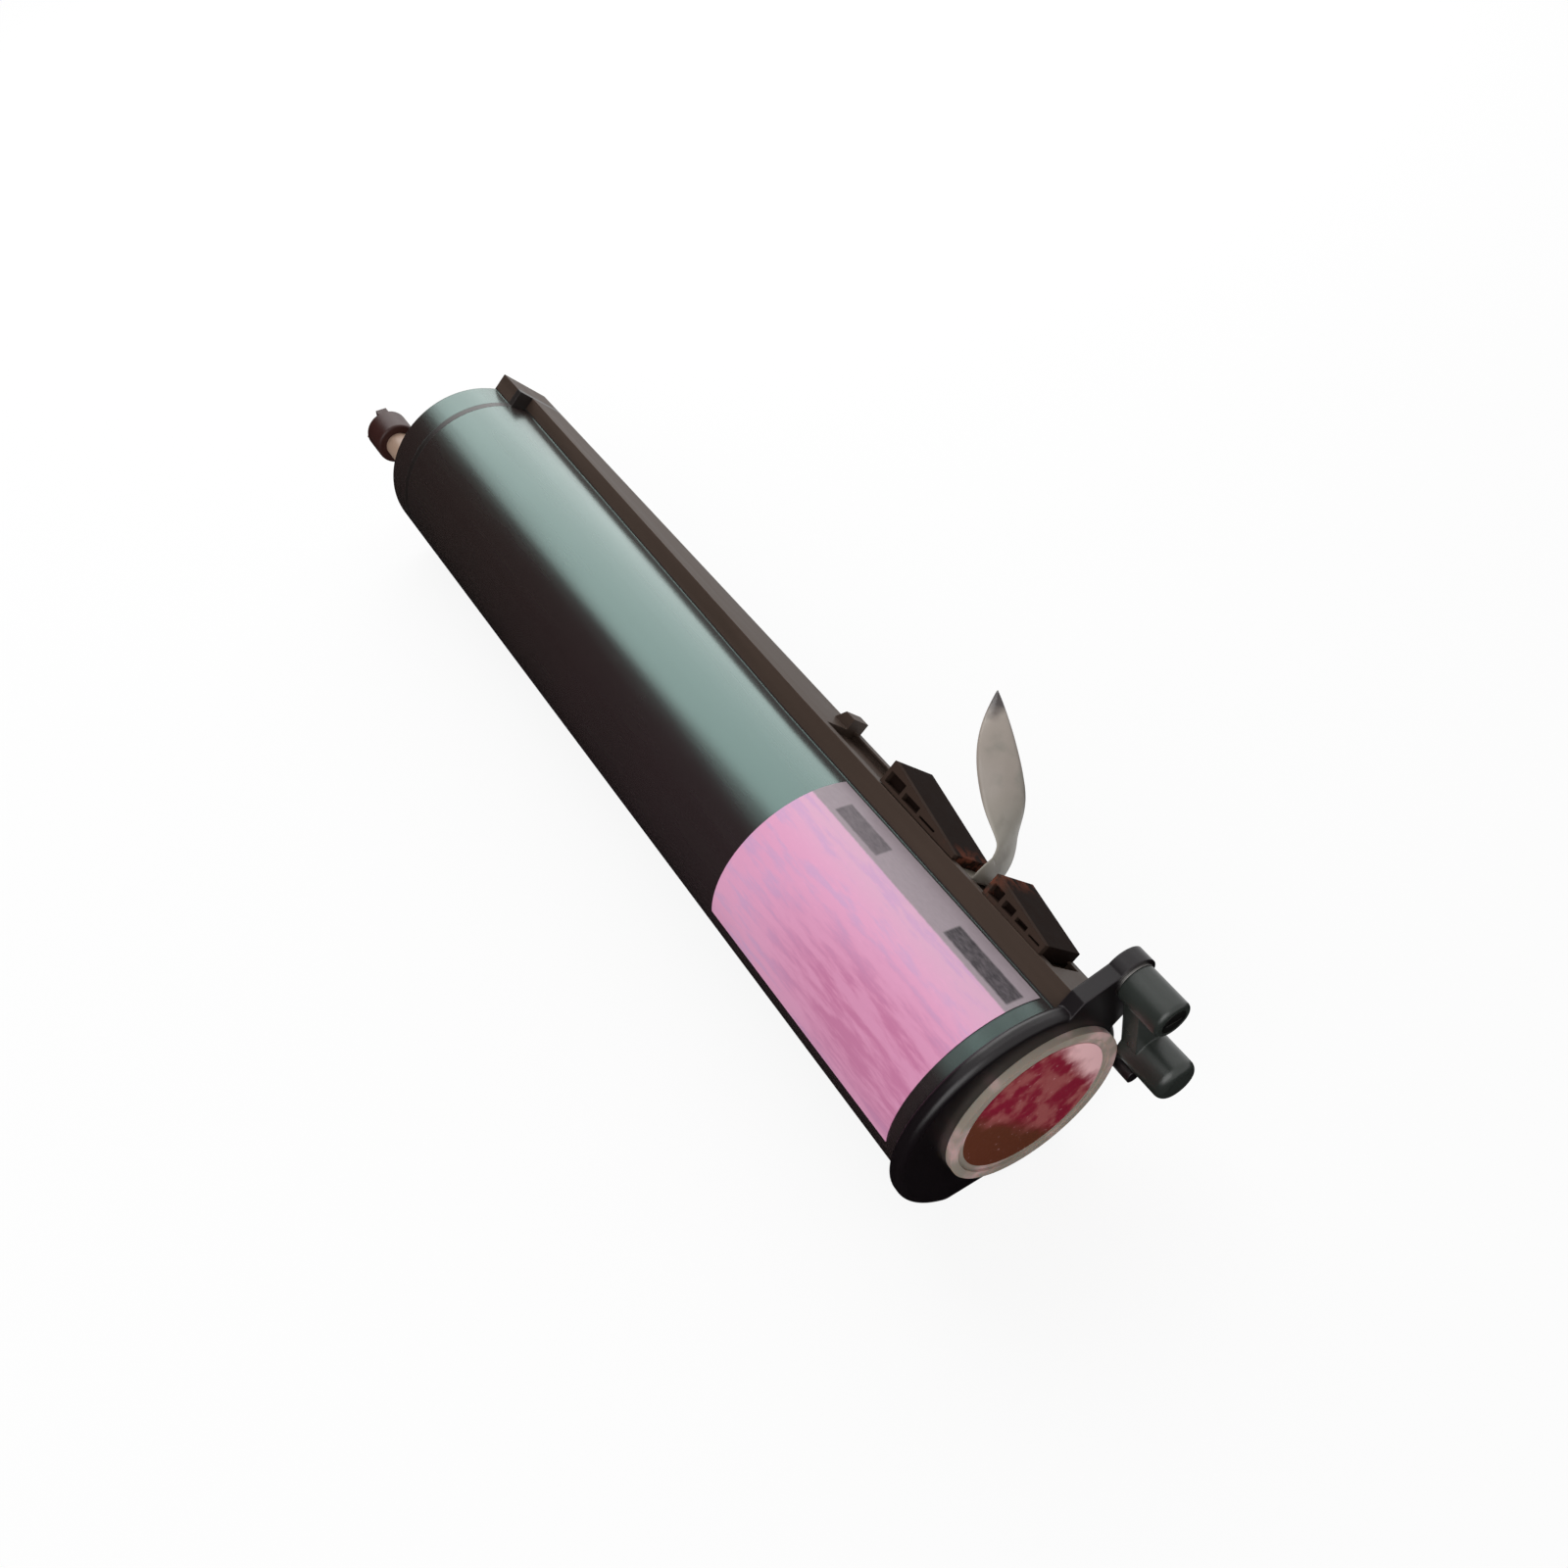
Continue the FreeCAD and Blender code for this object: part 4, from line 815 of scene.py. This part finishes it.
class CARTRIDGE_OT_stage(bpy.types.Operator):
    """Lay the pale floor, set the lights, the dark cards and the camera"""

    bl_idname = "cartridge.stage"
    bl_label = "Stage"

    def execute(self, context):
        settings = context.scene.cartridge_stage
        self.floor(context, settings)
        self.cards(context, settings)
        self.surroundings(context, settings)
        self.light(context, settings, "strip")
        self.light(context, settings, "fill")
        lens = bpy.data.cameras.new("camera")
        lens.lens = settings.focal_length
        lens.clip_start = 10 * MM
        camera = bpy.data.objects.new("camera", lens)
        camera.location = settings.camera_place
        camera.rotation_euler = Vector(settings.camera_aim).to_track_quat("-Z", "Y").to_euler()
        context.scene.collection.objects.link(camera)
        context.scene.camera = camera
        context.scene.view_settings.view_transform = "Standard"
        return {"FINISHED"}

    def sheet(self, context, name, width, height, material):
        """A flat stage sheet in its own XY plane."""
        mesh = bpy.data.meshes.new(name)
        x = width / 2
        y = height / 2
        mesh.from_pydata([(-x, -y, 0), (x, -y, 0), (x, y, 0), (-x, y, 0)], [], [(0, 1, 2, 3)])
        mesh.materials.append(material)
        made = bpy.data.objects.new(name, mesh)
        context.scene.collection.objects.link(made)
        return made

    def floor(self, context, settings):
        """White floor that keeps the object's shadow."""
        finish = Finish("floor_white", {"Roughness": 0.9, "Specular IOR Level": 0.1})
        place = finish.point()
        cloud = finish.noise(place, 3.0, 2.0)
        finish.give("Base Color", finish.mix(settings.floor_colour, tint(settings.floor_colour, 0.98), cloud))
        glow = finish.node("ShaderNodeEmission", {}, {"Color": (1.0, 1.0, 1.0), "Strength": 1.0})
        lift = finish.seen() * settings.floor_lift
        finish.show(finish.node("ShaderNodeMixShader", {}, {0: lift, 1: finish.shader, 2: glow}))
        self.sheet(context, "floor", settings.floor_size, settings.floor_size, finish.material)

    def cards(self, context, settings):
        """Dark cards that only mirrored rays see, unseen by the camera: painted shade of the floor beside the
        tube and before the flange, and painted dark surroundings mirrored in the tube's left side.
        """
        finish = Finish("card_black", {"Roughness": 0.95, "Specular IOR Level": 0.0})
        dark = settings.shade_card_colour
        cloth = finish.noise(finish.point(), 40.0, 2.0)
        finish.give("Base Color", finish.mix(tint(dark, 0.5), tint(dark, 1.5), cloth))
        over_floor = 0.2 * MM
        standing = self.sheet(context, "card", *settings.card_size, finish.material)
        standing.location = (*settings.card_place, settings.card_size[1] / 2)
        standing.rotation_euler = (math.radians(90), 0, settings.card_turn)
        beside = self.sheet(context, "side_card", *settings.side_card_size, finish.material)
        beside.location = (*settings.side_card_place, over_floor)
        before = self.sheet(context, "front_card", *settings.front_card_size, finish.material)
        reach = settings.front_card_size[1] / 2
        before.location = (settings.front_card_middle, SHELL_LOW.y - reach, over_floor)
        for card in (standing, beside, before):
            card.visible_camera = False
            card.visible_shadow = False
            card.visible_diffuse = False

    def surroundings(self, context, settings):
        """Even light, with a white background for what sees or mirrors it."""
        finish = Finish("surroundings", {"Color": (1.0, 1.0, 1.0)}, "ShaderNodeBackground", world=True)
        finish.give("Strength", settings.ambience + finish.seen() * (1.0 - settings.ambience))
        context.scene.world = finish.material

    def light(self, context, settings, name):
        """A large soft light that faces the cartridge, laid out by the settings that bear its name."""
        toward = Vector(getattr(settings, name + "_toward")).normalized()
        along = Vector(getattr(settings, name + "_along"))
        lamp = bpy.data.lights.new(name + "_light", "AREA")
        lamp.shape = "RECTANGLE"
        lamp.size, lamp.size_y = getattr(settings, name + "_size")
        lamp.energy = getattr(settings, name + "_power")
        made = bpy.data.objects.new(name + "_light", lamp)
        upright = toward.cross(along).normalized()
        turn = Matrix((upright.cross(toward), upright, toward)).transposed().to_4x4()
        made.matrix_world = Matrix.Translation(toward * getattr(settings, name + "_distance")) @ turn
        context.scene.collection.objects.link(made)


OPERATORS = (
    (CARTRIDGE_OT_stage, "cartridge_stage"),
    (CARTRIDGE_OT_hopper, "cartridge_hopper"),
    (CARTRIDGE_OT_label, "cartridge_label"),
    (CARTRIDGE_OT_front, "cartridge_front"),
    (CARTRIDGE_OT_slides, "cartridge_slides"),
    (CARTRIDGE_OT_tear_strip, "cartridge_tape"),
    (CARTRIDGE_OT_lever, "cartridge_lever"),
    (CARTRIDGE_OT_drive, "cartridge_drive"),
    (CARTRIDGE_OT_inner, "cartridge_inner"),
)


class CARTRIDGE_PT_sidebar(bpy.types.Panel):
    """Lists the cartridge's pieces with their sizes and colours"""

    bl_label = "Toner cartridge"
    bl_idname = "CARTRIDGE_PT_sidebar"
    bl_space_type = "VIEW_3D"
    bl_region_type = "UI"
    bl_category = "Cartridge"

    def draw(self, context):
        for operator, group in OPERATORS:
            box = self.layout.box()
            box.operator(operator.bl_idname)
            settings = getattr(context.scene, group)
            for name in GROUPS[group].__annotations__:
                box.prop(settings, name)


def register():
    for name, group in GROUPS.items():
        bpy.utils.register_class(group)
        setattr(bpy.types.Scene, name, PointerProperty(type=group))
    for operator, _ in OPERATORS:
        bpy.utils.register_class(operator)
    bpy.utils.register_class(CARTRIDGE_PT_sidebar)


def unregister():
    bpy.utils.unregister_class(CARTRIDGE_PT_sidebar)
    for operator, _ in reversed(OPERATORS):
        bpy.utils.unregister_class(operator)
    for name, group in reversed(GROUPS.items()):
        delattr(bpy.types.Scene, name)
        bpy.utils.unregister_class(group)


def main():
    register()
    for operator, _ in OPERATORS:
        group, call = operator.bl_idname.split(".")
        getattr(getattr(bpy.ops, group), call)()


if __name__ == "__main__":
    main()
